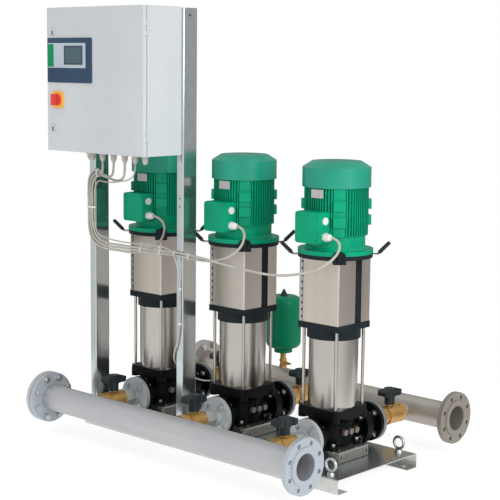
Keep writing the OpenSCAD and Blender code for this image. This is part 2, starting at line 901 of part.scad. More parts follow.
// Rotating assembly: shafts, impellers, coupling, motor core and fan
module pump_rotor() {
    shaft_from = plate_z - 75;
    shaft_to = coupling_z + coupling_h / 2;
    blades = 8;
    tail_top = cover_z + end_shield_h + fan_h + 8;
    color(steel) {
        translate([0, 0, shaft_from]) cylinder(d = shaft_d, h = shaft_to - shaft_from);
        translate([0, 0, shaft_to]) cylinder(d = motor_shaft_d, h = cover_z - shaft_to);
        translate([0, 0, cover_z]) cylinder(d = tail_shaft_d, h = tail_top - cover_z);
        for (i = [0:stages - 1])
            translate([0, 0, plate_z + i * stage_h + 14])
                rotate_extrude()
                    polygon([[shaft_d / 2, -8], [eye_bore_d / 2 - 2, -8], [eye_bore_d / 2 - 2, 0],
                             [impeller_d / 2, 0], [impeller_d / 2, 6], [shaft_d / 2 + 8, impeller_h],
                             [shaft_d / 2, impeller_h]]);
        translate([0, 0, core_z]) ring(core_d, motor_shaft_d, core_h);
    }
    color(plastic_black) {
        translate([0, 0, coupling_z])
            difference() {
                cylinder(d = coupling_d, h = coupling_h);
                translate([0, 0, -1]) cylinder(d = shaft_d, h = coupling_h / 2 + 1);
                translate([0, 0, coupling_h / 2]) cylinder(d = motor_shaft_d, h = coupling_h);
            }
        translate([0, 0, cover_z + end_shield_h + 4])
            difference() {
                union() {
                    cylinder(d = 60, h = fan_h);
                    cylinder(d = fan_d, h = 3);
                    for (i = [0:blades - 1])
                        rotate([0, 0, 360 * i / blades])
                            translate([26, -1.5, 0]) cube([fan_d / 2 - 28, 3, fan_h]);
                }
                translate([0, 0, -1]) cylinder(d = tail_shaft_d, h = 2 * fan_h);
            }
    }
}

// Bearings and seals that carry the rotating assemblies
module bearings_and_seals() {
    spider_d = 70 - 2 * seat;
    spider_h = 14;
    bearing_z = shield_z + 30 - bearing_h;
    color(steel)
        for (n = pumps)
            at_pump(n) {
                translate([0, 0, plate_z - spider_h])
                    difference() {
                        ring(spider_d, shaft_d + 2 * running, spider_h);
                        for (a = [0, 120, 240])
                            rotate([0, 0, a]) translate([21, 0, -1]) cylinder(d = 15, h = spider_h + 2);
                    }
                translate([0, 0, lantern_z]) ring(seal_d - 2 * seat, shaft_d + 2 * running, 24);
                translate([0, 0, bearing_z])
                    ring(motor_bearing_d - 2 * seat, motor_shaft_d + 2 * running, bearing_h);
                translate([0, 0, cover_z])
                    ring(tail_bearing_d - 2 * seat, tail_shaft_d + 2 * running, bearing_h);
            }
}

// Foot bolts, the casing's drain and vent plugs, and the screws of the lantern lugs
module foot_bolts_and_plugs() {
    color(steel)
        for (n = pumps)
            at_pump(n) {
                at_corners(foot_bolt_x, foot_bolt_y)
                    translate([0, 0, foot_z + foot_t])
                        bolt_and_nut(foot_bolt_d, foot_t + sheet_t, m12_af, m12_head, m12_nut);
                for (y = plug_y)
                    translate([plug_x, y, plug_z]) along_x() {
                        hexagon(plug_af, plug_l);
                        translate([0, 0, -10]) cylinder(d = 12, h = 11);
                    }
                for (a = [-45, 135])
                    rotate([0, 0, a]) translate([lug_out, 0, lug_boss_top]) {
                        hexagon(13, 6);
                        translate([0, 0, -20]) cylinder(d = 8, h = 21);
                    }
            }
}

// Flange bolts: pump ports, check valves and blind ends
module flange_bolts() {
    two = 2 * port_flange_t;
    blind_grip = blind_t + collar_proud + manifold_flange_t;
    color(steel) {
        for (n = pumps)
            at_pump(n) translate([0, 0, port_z]) {
                for (y = [-port_face + port_flange_t, port_face + port_flange_t,
                          port_face + check_l + port_flange_t])
                    translate([0, y, 0])
                        along_y() on_circle(port_pcd, 4)
                            bolt_and_nut(16, two, m16_af, m16_head, m16_nut);
            }
        for (y = [suction_y, discharge_y])
            translate([blind_x - blind_t, y, port_z])
                rotate([0, -90, 0]) on_circle(manifold_pcd, 8)
                    bolt_and_nut(16, blind_grip, m16_af, m16_head, m16_nut);
    }
}

// Runs a branch part away from a port: +Z points from the pump to its manifold
module suction_branch(n) {
    at_pump(n) translate([0, -port_face, port_z]) along_minus_y() children();
}

module discharge_branch(n) {
    at_pump(n) translate([0, port_face + check_l, port_z]) along_y() children();
}

// Companion flanges with a hub
module companion_flange() {
    difference() {
        union() {
            port_flange();
            translate([0, 0, port_flange_t - 1]) cylinder(d = 78, h = hub_l + 1);
        }
        translate([0, 0, -1]) cylinder(d = port_bore_d, h = port_flange_t + hub_l + 2);
    }
}

module companion_flanges() {
    color(flange_grey)
        for (n = pumps) {
            suction_branch(n) companion_flange();
            discharge_branch(n) companion_flange();
        }
}

// Ball valve body with hexagon ends, and the hexagon nipple before it
module ball_valve_body() {
    mid = valve_from_flange + valve_l / 2;
    cavity_d = ball_d + 0.6;
    translate([0, 0, port_flange_t + hub_l])
        difference() {
            hexagon(valve_af - 6, nipple_l);
            translate([0, 0, -1]) cylinder(d = port_bore_d, h = nipple_l + 2);
        }
    difference() {
        union() {
            translate([0, 0, valve_from_flange]) hexagon(valve_af, end_l);
            translate([0, 0, valve_from_flange + valve_l - end_l]) hexagon(valve_af, end_l);
            translate([0, 0, mid - valve_l / 2 + 10])
                cylinder(d = valve_af - 2, h = valve_l - 20);
            translate([0, 0, mid - valve_d / 2 + 4]) cylinder(d = valve_d, h = valve_d - 8);
        }
        translate([0, 0, valve_from_flange - 1]) cylinder(d = port_bore_d, h = valve_l + 2);
        translate([0, 0, mid]) sphere(d = cavity_d);
        translate([0, 0, mid]) children();
    }
}

// Upright stem bore and gland boss of a valve; up is turned for each branch
module valve_neck(up) {
    rotate([up, 0, 0]) cylinder(d = stem_d + 2 * running, h = valve_d);
}

module ball_valve_bodies() {
    color(brass)
        for (n = pumps) {
            suction_branch(n) ball_valve_body() valve_neck(-90);
            discharge_branch(n) ball_valve_body() valve_neck(90);
            for (y = [suction_valve_y, discharge_valve_y])
                at_pump(n) translate([0, y, port_z + valve_d / 2]) ring(34, stem_d + 2 * running, 5);
        }
}

// Valve handle: butterfly wing on a hub, with stem and ball
module valve_handle(y) {
    top_r = 1.25 * handle_l;
    half = handle_l / 2;
    end_h = 22;
    groove_y = 22;
    translate([0, y, 0]) {
        color(plastic_black) {
            translate([0, 0, port_z + valve_top]) ring(hub_d, stem_d + seat, handle_neck);
            translate([0, 0, handle_z])
                intersection() {
                    linear_extrude(handle_h)
                        difference() {
                            polygon(round_rect(handle_w, handle_l, 9));
                            for (x = [-1, 1]) {
                                translate([x * handle_w / 2, 0])
                                    square([handle_w - hub_d + 2, 2 * groove_y - 14], center = true);
                                for (y = [-1, 1])
                                    translate([x * (handle_w / 2 + 1), y * groove_y]) circle(r = 11);
                            }
                        }
                    translate([-handle_w, 0, 0])
                        rotate([90, 0, 90])
                            linear_extrude(2 * handle_w)
                                polygon(concat(
                                    [[-hub_d / 2, 0], [hub_d / 2, 0], [half, handle_h - end_h - 6]],
                                    arc(0, handle_h - top_r, top_r, 90 - asin(half / top_r),
                                        90 + asin(half / top_r), 10),
                                    [[-half, handle_h - end_h - 6]]));
                }
        }
        color(steel) {
            translate([0, 0, port_z + ball_d / 2 - 4])
                cylinder(d = stem_d, h = handle_z - port_z - ball_d / 2 + 4);
            translate([0, 0, port_z])
                difference() {
                    sphere(d = ball_d);
                    along_y() cylinder(d = ball_bore_d, h = 2 * ball_d, center = true);
                    translate([0, 0, ball_d / 2 - 4]) cylinder(d = ball_d, h = ball_d);
                }
        }
    }
}

// Check valve: body with two flanges, seat and guide; the disc slides on its stem
module check_valve_bodies() {
    seat_y = 26;
    neck_d = 92;
    chamber_d = 76;
    color(casting_black)
        for (n = pumps)
            at_pump(n) translate([0, port_face, port_z]) along_y() {
                difference() {
                    union() {
                        port_flange();
                        translate([0, 0, check_l - port_flange_t]) port_flange();
                        translate([0, 0, 1]) cylinder(d = neck_d, h = check_l - 2);
                        translate([0, 0, check_l / 2 - 8]) cylinder(d = neck_d + 8, h = 16);
                    }
                    translate([0, 0, -1]) cylinder(d = port_bore_d, h = check_l + 2);
                    translate([0, 0, seat_y]) cylinder(d = chamber_d, h = check_l - seat_y - 6);
                }
                translate([0, 0, check_l - 20]) guide_spider(port_bore_d - 2 * seat);
            }
}

// Three arms that carry the guide bush of the disc's stem
module guide_spider(od) {
    h = 8;
    ring(22, 10 + 2 * running, h);
    difference() {
        union() {
            for (a = [90, 210, 330])
                rotate([0, 0, a]) translate([8, -2.5, 0]) cube([28, 5, h]);
            ring(76 - 2 * seat, 66, h);
        }
        translate([0, 0, -1]) cylinder(d = 20, h = h + 2);
    }
}

module check_valve_disc(n) {
    seat_y = 26;
    disc_d = 64;
    disc_t = 8;
    color(stainless)
        at_pump(n) translate([0, port_face, port_z]) along_y() {
            translate([0, 0, seat_y + 0.3]) cylinder(d1 = disc_d - 4, d2 = disc_d, h = disc_t);
            translate([0, 0, seat_y + disc_t - 1]) cylinder(d = 10, h = check_l - 14 - seat_y - disc_t);
        }
}

// Manifold pipe with three branch stubs, flanges and collars; branch_y is +1 or -1
module manifold(branch_y) {
    bore_d = pipe_d - 2 * pipe_wall;
    collar_l = manifold_flange_t + collar_proud;
    stub_d = 60.3;
    difference() {
        union() {
            translate([blind_x + 4, 0, 0]) along_x() cylinder(d = pipe_d, h = manifold_l - 8);
            for (x = [blind_x + collar_proud, open_x - collar_l])
                translate([x, 0, 0]) along_x() cylinder(d = manifold_flange_d, h = manifold_flange_t);
            for (x = [blind_x, open_x - collar_l])
                translate([x, 0, 0]) along_x() cylinder(d = collar_d, h = collar_l);
            for (n = pumps)
                at_pump(n) rotate([-90 * branch_y, 0, 0])
                    cylinder(d = stub_d, h = pipe_d / 2 + stub_l);
            children(0);
        }
        translate([blind_x + collar_l, 0, 0]) along_x() cylinder(d = bore_d, h = manifold_l - 2 * collar_l);
        translate([blind_x - 1, 0, 0]) along_x() cylinder(d = collar_bore_d, h = manifold_l + 2);
        for (n = pumps)
            at_pump(n) rotate([-90 * branch_y, 0, 0])
                cylinder(d = port_bore_d, h = pipe_d / 2 + stub_l + 1);
        for (end = [[blind_x, blind_hole_d], [open_x - collar_l, flange_hole_d]])
            translate([end[0] - 1, 0, 0])
                along_x() on_circle(manifold_pcd, 8)
                    cylinder(d = end[1], h = collar_l + 2);
        children(1);
    }
}

module suction_manifold() {
    color(stainless)
        translate([0, suction_y, port_z])
            manifold(1) {
                union() {}
                union() {}
            }
}

// The discharge manifold also carries the sockets of the vessel and of the sensor
module discharge_manifold() {
    color(stainless)
        translate([0, discharge_y, port_z])
            manifold(-1) {
                for (x = [vessel_x, sensor_x])
                    translate([x, 0, 0]) cylinder(d = 36, h = socket_top - port_z);
                for (x = [vessel_x, sensor_x])
                    translate([x, 0, 0]) cylinder(d = 15, h = socket_top);
            }
}

module blind_flanges() {
    color(flange_grey)
        for (y = [suction_y, discharge_y])
            translate([blind_x - blind_t, y, port_z])
                along_x() difference() {
                    cylinder(d = manifold_flange_d, h = blind_t);
                    on_circle(manifold_pcd, 8)
                        translate([0, 0, -1]) cylinder(d = blind_hole_d, h = blind_t + 2);
                }
}

// Diaphragm vessel: hollow shell on a collar, with a cone cap on top
module pressure_vessel() {
    r = vessel_d / 2;
    wall = 3;
    neck = 12;
    translate([vessel_x, discharge_y, vessel_z]) {
        color(motor_green)
            rotate_extrude()
                polygon(concat(
                    [[neck, 0]], arc(r - 26, 26, 26, -80, 0, 4), arc(r - 30, vessel_h - 30, 30, 0, 80, 4),
                    [[0, vessel_h], [0, vessel_h - wall]], arc(r - 30, vessel_h - 30, 30 - wall, 80, 0, 4),
                    arc(r - 26, 26, 26 - wall, 0, -80, 4), [[neck, wall]]));
        color(motor_green)
            translate([0, 0, -vessel_collar_h]) ring(86, 2 * neck, vessel_collar_h);
    }
}

module vessel_cap() {
    color(plastic_black)
        translate([vessel_x, discharge_y, vessel_z + vessel_h]) cylinder(d1 = 36, d2 = 8, h = 30);
}

// Cock under the vessel: body with a cross bore, and a lever that turns in it
module vessel_valve() {
    color(brass)
        translate([vessel_x, discharge_y, socket_top])
            difference() {
                union() {
                    hexagon(32, 12);
                    translate([0, 0, 12]) cylinder(d = 30, h = cock_h - 24);
                    translate([0, 0, cock_h - 12]) hexagon(32, 12);
                    translate([0, 0, cock_h / 2]) along_x() cylinder(d = 20, h = 22);
                    translate([0, 0, cock_h - 1]) cylinder(d = 28, h = vessel_pipe_h + 1);
                }
                translate([0, 0, -1]) cylinder(d = 14, h = cock_h + vessel_pipe_h + 2);
                translate([0, 0, cock_h / 2]) along_x() cylinder(d = 8 + 2 * running, h = 40);
            }
}

module vessel_valve_lever() {
    color(brass)
        translate([vessel_x, discharge_y, socket_top + cock_h / 2]) {
            translate([8, 0, 0]) along_x() cylinder(d = 8, h = 20);
            translate([28, -6, -6]) cube([5, 12, 12]);
            translate([33, -4, -4]) cube([16, 8, 8]);
        }
}

// Pressure transmitter on the discharge manifold
module pressure_sensor() {
    color(steel)
        translate([sensor_x, discharge_y, socket_top]) {
            hexagon(27, 14);
            translate([0, 0, 13]) cylinder(d = 24, h = sensor_h - 24);
            translate([0, 0, sensor_h - 12]) cylinder(d = 18, h = 12);
        }
}

// Cabinet body: open box with an inward rim, gland holes below and hinge leaves
module cabinet_body() {
    w = cabinet_w;
    h = cabinet_h;
    t = cabinet_t;
    front = post_front - cabinet_d;
    color(sheet_grey)
        difference() {
            union() {
                translate([cabinet_x - w / 2, front, cabinet_z]) cube([w, cabinet_d, h]);
                for (z = hinge_z) hinge_leaf(z, front, 0, hinge_l / 3);
            }
            translate([cabinet_x - w / 2 + t, front + t, cabinet_z + t])
                cube([w - 2 * t, cabinet_d - 2 * t, h - 2 * t]);
            translate([cabinet_x - w / 2 + rim_w, front - 1, cabinet_z + rim_w])
                cube([w - 2 * rim_w, t + 2, h - 2 * rim_w]);
            for (x = gland_x)
                translate([x, gland_row_y, cabinet_z - 1]) cylinder(d = 18, h = t + 2);
            for (z = hinge_z)
                translate([hinge_x, hinge_y, z - hinge_l])
                    cylinder(d = hinge_pin_d + 2 * running, h = 2 * hinge_l);
        }
}

// Knuckle of a side hinge with the leaf that reaches back or forward to a flat side
module hinge_leaf(z, face_y, direction, l) {
    leaf_t = 2;
    reach = 20;
    away = direction == 0 ? face_y : face_y - reach;
    translate([hinge_x, hinge_y, z - l / 2]) cylinder(d = hinge_d, h = l);
    translate([-cabinet_right, away, z - l / 2]) cube([leaf_t, reach, l]);
    translate([-cabinet_right, min(hinge_y, face_y), z - l / 2])
        cube([leaf_t, abs(hinge_y - face_y) + 0.5, l]);
}

// Door: pan-shaped sheet with a gasket, holes for locks and switch, and hinge pins
module cabinet_door() {
    w = cabinet_w;
    h = cabinet_h;
    t = cabinet_t;
    knuckle = hinge_l / 3 - 0.4;
    color(sheet_grey)
        difference() {
            union() {
                translate([cabinet_x - w / 2, door_front, cabinet_z]) cube([w, door_d, h]);
                for (z = hinge_z, k = [-1, 1]) hinge_leaf(z + k * hinge_l / 3, door_back, 1, knuckle);
            }
            translate([cabinet_x - w / 2 + t, door_front + t, cabinet_z + t])
                cube([w - 2 * t, door_d, h - 2 * t]);
            for (z = lock_z)
                translate([lock_x, door_front - 1, z])
                    along_y() cylinder(d = lock_d + 2 * running, h = t + 2);
            translate([switch_x, door_front - 1, switch_z]) along_y() cylinder(d = 22, h = t + 2);
        }
    color(steel)
        for (z = hinge_z)
            translate([hinge_x, hinge_y, z - hinge_l / 2]) cylinder(d = hinge_pin_d, h = hinge_l);
}

// Gasket inside the door's rim, which meets the rim of the body
module door_gasket() {
    w = cabinet_w - 2 * cabinet_t;
    h = cabinet_h - 2 * cabinet_t;
    color(plastic_black)
        translate([cabinet_x, door_front + cabinet_t, cabinet_z + cabinet_h / 2])
            along_y() linear_extrude(door_d - cabinet_t + door_seam - gasket_gap)
                difference() {
                    square([w - gasket_in, h - gasket_in], center = true);
                    square([w - 2 * rim_w, h - 2 * rim_w], center = true);
                }
}

// Mounting plate on four spacers
module gear_plate() {
    plate_y = gear_front + 3;
    plate_size = cabinet_w - 60;
    spacer_x = cabinet_w / 2 - 60;
    color(galvanised) {
        translate([cabinet_x - plate_size / 2, gear_front, cabinet_z + 30])
            cube([plate_size, 3, cabinet_h - 60]);
        for (x = [-1, 1], z = [60, cabinet_h - 60])
            translate([cabinet_x + x * spacer_x, plate_y, cabinet_z + z])
                along_y() cylinder(d = 14, h = gear_gap);
    }
}

// Generic switchgear in rows: drives, contactors and a terminal row
module switchgear() {
    unit_w = cabinet_w / 100;
    unit_h = cabinet_h / 100;
    left = cabinet_x - 37 * unit_w;
    color(plastic_black)
        for (i = [0:2])
            translate([left + i * 26 * unit_w, gear_front - 90, cabinet_z + 53 * unit_h])
                cube([20 * unit_w, 90, 31 * unit_h]);
    color("#e4e4de")
        for (i = [0:5])
            translate([left + i * 8.4 * unit_w, gear_front - 72, cabinet_z + 33 * unit_h])
                cube([7.5 * unit_w, 72, 14 * unit_h]);
    color("#9aa7a0")
        translate([left, gear_front - 48, cabinet_z + 15 * unit_h]) cube([67 * unit_w, 48, 8 * unit_h]);
}

// Control panel on the door: fascia, light field and screen
module control_panel() {
    field_w = 248;
    field_h = 104;
    field_dx = -fascia_w / 2 + field_w / 2 + 3;
    field_dz = 20;
    translate([fascia_x, door_front, fascia_z])
        along_minus_y() {
            color("#33475e") round_plate(fascia_w, fascia_h, 5, 8);
            color("#b8c4cc")
                translate([field_dx, field_dz, 5]) round_plate(field_w, field_h, 1.5, 4);
            color("#22282c")
                translate([field_dx + 45, field_dz, 6.5])
                    difference() {
                        round_plate(126, 86, 3, 4);
                        translate([0, 0, 1]) round_plate(114, 74, 3, 2);
                    }
            color("#5f7478")
                translate([field_dx + 45, field_dz, 7.5]) round_plate(113, 73, 1, 2);
        }
}

// Main switch: plate with the switch behind the door, and the turning knob
module main_switch_plate() {
    color("#f4b93e")
        translate([switch_x, door_front, switch_z])
            along_minus_y() difference() {
                round_plate(75, 70, 5, 6);
                translate([0, 0, -1]) cylinder(d = 10 + 2 * running, h = 8);
            }
    color(plastic_black)
        translate([switch_x, door_front + cabinet_t, switch_z])
            along_y() difference() {
                round_plate(48, 48, 38, 3);
                translate([0, 0, -1]) cylinder(d = 10 + 2 * running, h = 26);
            }
}

module main_switch_knob() {
    color("#e0382f")
        translate([switch_x, door_front - 5.3, switch_z])
            along_minus_y() {
                cylinder(d = 50, h = 10);
                translate([-9, -24, 9]) cube([18, 48, 20]);
                translate([0, 0, -28]) cylinder(d = 10, h = 29);
            }
}

// Quarter-turn lock: slotted barrel in the door, nut and cam behind it
module door_lock(z) {
    cam_l = 38;
    cam_y = door_d + door_seam + cabinet_t + 1.5;
    color(steel)
        translate([lock_x, door_front, z])
            along_y() {
                difference() {
                    translate([0, 0, -5]) cylinder(d = lock_d, h = 5 + cam_y + 1);
                    translate([-2, -8, -6]) cube([4, 16, 5]);
                }
                translate([0, 0, -5]) ring(lock_d + 6, lock_d - 1, 4.7);
                translate([-7, -8, cam_y]) cube([14, cam_l, 3]);
            }
}

// Cable glands under the cabinet; the first is the larger supply inlet
module cabinet_glands() {
    l = cabinet_z - gland_exit_z;
    color(cable_grey)
        for (i = [0:len(gland_x) - 1])
            translate([gland_x[i], gland_row_y, cabinet_z])
                rotate([180, 0, 0]) cable_gland(i == 0 ? 40 : 27, l);
}

// Glands of the terminal boxes and of the cabinet
module cable_glands() {
    motor_cable_glands();
    cabinet_glands();
}

// Fasteners of the whole set: foot bolts, drain plugs, flange bolts and the pins of the handles
module bolts_pins_and_plugs() {
    foot_bolts_and_plugs();
    flange_bolts();
    handle_pins();
}

// Loose flanges: on the pump ports, and blind on the closed ends of the manifolds
module pipe_flanges() {
    companion_flanges();
    blind_flanges();
}

// Routes of the motor cables: gland, trunk on the left post, bundle, and the loop to the motor
function trunk_x(n) = -706 + 12 * n;
function bundle_z(n) = 806 + 12 * n;
function high_z(n) = 1170 - 10.6 * n;
function cable_drop(n) =
    let (x = gland_x[n], z = high_z(n), u = unit([trunk_x(n) + 120 - x, 73]))
    concat([[x, -365, gland_exit_z], [x, -365, z + 44]],
           [for (s = [[6, 21], [22, 5], [44, -2]]) [x + s[0] * u[0], -365 + s[0] * u[1], z + s[1]]]);
function cable_trunk(n) = let (x = trunk_x(n), z = high_z(n), b = bundle_z(n)) [
    [x + 120, -292, z - 2], [x + 66, -267, z - 2], [x + 40, -263, z - 5], [x + 18, -262, z - 18],
    [x + 4, -262, z - 40], [x, -262, z - 66], [x, -262, 990], [x, -262, 940], [x + 6, -262, b + 66],
    [x + 22, -262, b + 32], [x + 52, -262, b + 11], [x + 96, -262, b + 1]];
function cable_run(n) =
    n == 1 ? [[-500, -261, 817], [-440, -258, 816]] :
    n == 2 ? [[-480, -262, 830], [-300, -262, 829], [-126, -262, 832], [-10, -256, 826]] :
    [[-480, -262, 842], [-300, -262, 840], [-126, -262, 844], [0, -262, 838], [90, -262, 829],
     [280, -262, 814], [405, -256, 811]];
loops = [[],
    [[110, -246, 818], [150, -238, 828], [178, -220, 844], [190, -194, 866], [188, -170, 893],
     [177, -153, 921], [158, -145, 945], [131, gland_y, gland_z - 5]],
    [[55, -246, 828], [102, -240, 838], [133, -228, 851], [149, -208, 868], [153, -184, 886],
     [151, -164, 907], [147, -152, 928], [140, -146, 944.5], [125, gland_y, gland_z - 5.5]],
    [[23, -244, 828], [72, -224, 842], [108, -200, 864], [132, -178, 889], [142, -163, 909],
     [145, -152, 928], [139.5, -146, 944.5], [125, gland_y, gland_z - 5.5]]];
function cable_loop(n) = let (x = (n - 2) * pump_pitch)
    concat([for (p = loops[n]) p + [x, 0, 0]],
           [for (out = [6, 0]) [x + terminal_w / 2 + gland_out + out, gland_y, gland_z]]);
function motor_cable_route(n) = concat(cable_drop(n), cable_trunk(n), cable_run(n), cable_loop(n));

// Route of the sensor cable: along the trunk, down the right post, past the middle pump to the sensor
function sensor_cable_route() = [
    [gland_x[4], -365, gland_exit_z], [-276, -365, 1184], [-286, -366, 1158], [-316, -368, 1141],
    [-372, -362, 1131], [-440, -340, 1121], [-560, -298, 1115], [-612, -270, 1113], [-640, -262, 1101],
    [-654, -260, 1078], [-658, -260, 1050], [-658, -260, 990], [-658, -260, 940], [-650, -260, 898],
    [-630, -260, 874], [-592, -260, 866], [-300, -260, 858], [-196, -264, 856], [-150, -271, 842],
    [-128, -272, 806], [-120, -264, 750], [-118, -259, 690], [-118, -259, 545], [-130, -260, 470],
    [-146, -262, 425], [-156, -257, 392], [-159, -236, 362], [-158, -200, 334], [-152, -166, 306],
    [-136, -130, 284], [-116, -102, 276], [-105, -64, 275], [-104, 0, 275], [-104, 100, 275],
    [-106, 150, 268], [-106, 220, 246], [-104, 320, 226], [-96, 410, 216], [-78, 476, 215],
    [-44, 526, 216], [-24, 533, 217], [-9, 534, 221.5], [1.5, 534, 232.5], [5.5, 534, 249],
    [5.5, 534, 297], [9, 534, 313], [19, 534, 323.5], [32.5, 534, 327], [46, 534, 323.5], [56, 534, 313],
    [sensor_x, discharge_y, 298], [sensor_x, discharge_y, socket_top + sensor_h]];

// A tube of eight sides along the route's points
function unit(v) = v / norm(v);
function heading(p, i) = unit(p[min(i + 1, len(p) - 1)] - p[max(i - 1, 0)]);
function sides_along(p, i = 0, last = [0, 1, 0]) =
    i == len(p) ? [] :
    let (t = heading(p, i), s = unit(last - (last * t) * t))
    concat([s], sides_along(p, i + 1, s));

module cord(p, d) {
    sides = 8;
    across = sides_along(p);
    rings = [for (i = [0:len(p) - 1], k = [0:sides - 1])
        let (a = 360 * k / sides, s = across[i])
        p[i] + d / 2 * (cos(a) * s + sin(a) * cross(heading(p, i), s))];
    walls = [for (i = [0:len(p) - 2], k = [0:sides - 1])
        let (next = (k + 1) % sides)
        [i * sides + k, (i + 1) * sides + k, (i + 1) * sides + next, i * sides + next]];
    last_ring = (len(p) - 1) * sides;
    polyhedron(rings, concat(walls, [[for (k = [0:sides - 1]) k]],
                             [[for (k = [sides - 1:-1:0]) last_ring + k]]));
}

module motor_cable(n) {
    color(cable_grey) cord(motor_cable_route(n), motor_cable_d);
}

module sensor_cable() {
    color(cable_grey) cord(sensor_cable_route(), sensor_cable_d);
}

set_frame() base_deck();
set_frame() pump_pedestals();
set_frame() lifting_eyes();
set_frame() panel_posts();
for (n = pumps) {
    set_frame() at_pump(n) pump_base();
    set_frame() at_pump(n) pump_lantern();
    set_frame() at_pump(n) pump_rotor();
    set_frame() at_pump(n) motor_frame();
    set_frame() at_pump(n) valve_handle(suction_valve_y);
    set_frame() at_pump(n) valve_handle(discharge_valve_y);
    set_frame() check_valve_disc(n);
    set_frame() motor_cable(n);
}
set_frame() pump_barrels();
set_frame() stage_casings();
set_frame() bearings_and_seals();
set_frame() tie_rods();
set_frame() coupling_guards();
set_frame() handle_grips();
set_frame() motor_stators();
set_frame() motor_fan_covers();
set_frame() motor_terminal_boxes();
set_frame() cable_glands();
set_frame() bolts_pins_and_plugs();
set_frame() pipe_flanges();
set_frame() ball_valve_bodies();
set_frame() check_valve_bodies();
set_frame() suction_manifold();
set_frame() discharge_manifold();
set_frame() pressure_vessel();
set_frame() vessel_cap();
set_frame() vessel_valve();
set_frame() vessel_valve_lever();
set_frame() pressure_sensor();
set_frame() cabinet_body();
set_frame() cabinet_door();
set_frame() door_gasket();
set_frame() gear_plate();
set_frame() switchgear();
set_frame() control_panel();
set_frame() main_switch_plate();
set_frame() main_switch_knob();
set_frame() door_lock(lock_z[1]);  // upper_door_lock
set_frame() door_lock(lock_z[0]);  // lower_door_lock
set_frame() sensor_cable();
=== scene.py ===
# %% [markdown]
# A booster pump set is an industrial machine, so almost every surface is a metal
# with a known making: galvanised sheet, black cast iron, green sprayed enamel,
# stainless tube, pressed brass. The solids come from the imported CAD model, which is
# loaded as a fixed frame. This script gives each solid its finish, lays the cables,
# adds the small trim that the solids leave out, and sets the camera and the light.

# %% Load the frame
import math

import bmesh
import bpy
import numpy as np
from mathutils import Matrix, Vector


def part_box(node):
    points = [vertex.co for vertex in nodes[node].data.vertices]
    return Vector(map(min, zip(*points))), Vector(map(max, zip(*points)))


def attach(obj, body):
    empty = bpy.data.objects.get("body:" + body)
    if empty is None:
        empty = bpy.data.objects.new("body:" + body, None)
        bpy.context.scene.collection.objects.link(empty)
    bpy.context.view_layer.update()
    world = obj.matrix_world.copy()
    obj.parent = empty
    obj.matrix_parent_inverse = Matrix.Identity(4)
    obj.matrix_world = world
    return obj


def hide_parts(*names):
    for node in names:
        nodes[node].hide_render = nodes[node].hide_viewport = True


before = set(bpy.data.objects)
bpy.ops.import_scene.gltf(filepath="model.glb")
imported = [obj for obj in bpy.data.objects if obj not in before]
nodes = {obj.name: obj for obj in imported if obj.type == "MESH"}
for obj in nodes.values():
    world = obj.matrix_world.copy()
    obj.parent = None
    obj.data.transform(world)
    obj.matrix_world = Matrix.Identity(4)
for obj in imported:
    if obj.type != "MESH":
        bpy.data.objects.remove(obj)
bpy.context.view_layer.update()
PUMPS = (1, 2, 3)
PITCH = 500.0  # from one pump's axis to the next, in millimetres
print("solids:", len(nodes))

# %% [markdown]
# The drawing of the set is easiest to read from the middle pump's axis, in
# millimetres. The frame is in metres with its origin under the whole set, so one
# function turns the first into the second. The axis could be typed in, but the casing
# of the middle pump is symmetric, so the centre of its box gives the axis exactly.

# %% Millimetres about the middle pump
casing_low, casing_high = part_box("pump_2_base")
AXIS = np.array([(casing_low.x + casing_high.x) / 2, (casing_low.y + casing_high.y) / 2, 0.0])
PUMP_X = {n: (n - 2) * PITCH for n in PUMPS}


def place(points):
    """Points in millimetres about the middle pump's axis, as metres in the frame."""
    return np.asarray(points, float) / 1000 + AXIS


def corners(name):
    """The lowest and highest corner of a solid, in millimetres about the middle pump's axis."""
    return [(np.array(corner) - AXIS) * 1000 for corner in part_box(name)]


print("axis of the middle pump:", AXIS.round(4))

# %% [markdown]
# The camera stands where the photographer stood: to the right of the set and a
# little above it, far away with a long lens, so that the verticals stay nearly
# parallel. It could be set by eye, but a fit to known sizes puts each edge on its own
# pixel. So the fitted place and the three angles of aim are written down, and the
# angles are turned into the three axes of the camera.

# %% Camera
CAMERA_PLACE = (3819.2, -4072.5, 1621.4)
AZIMUTH, PITCH_DOWN, ROLL = np.radians([42.88, 7.92, 0.59])
FOCAL_PIXELS, IMAGE_PIXELS, SENSOR_MM = 1333.54, 500.0, 36.0

ahead = np.array([-math.sin(AZIMUTH) * math.cos(PITCH_DOWN),
                  math.cos(AZIMUTH) * math.cos(PITCH_DOWN), -math.sin(PITCH_DOWN)])
level = np.array([math.cos(AZIMUTH), math.sin(AZIMUTH), 0.0])
above = np.cross(level, ahead)
right = math.cos(ROLL) * level + math.sin(ROLL) * above
top = math.cos(ROLL) * above - math.sin(ROLL) * level

camera_data = bpy.data.cameras.new("camera")
camera_data.sensor_width = SENSOR_MM
camera_data.lens = FOCAL_PIXELS / IMAGE_PIXELS * SENSOR_MM
camera = bpy.data.objects.new("camera", camera_data)
pose = Matrix.Identity(4)
for row in range(3):
    pose[row][:3] = right[row], top[row], -ahead[row]
pose.translation = place(CAMERA_PLACE)
camera.matrix_world = pose
bpy.context.scene.collection.objects.link(camera)
bpy.context.scene.camera = camera
print("lens", round(camera_data.lens, 1), "mm")

# %% [markdown]
# Each motor cable leaves its own gland under the cabinet, swings back to the left
# post, hangs down it, and turns into a bundle that runs to the right past the second
# post. It leaves the bundle in front of its pump and rises in a loop to the gland of
# the terminal box. A simulation could hang it, but ties and posts hold it nearly all
# the way, so its route is a list of points, the same ones that the solids follow.
# First come the turns that all three share.

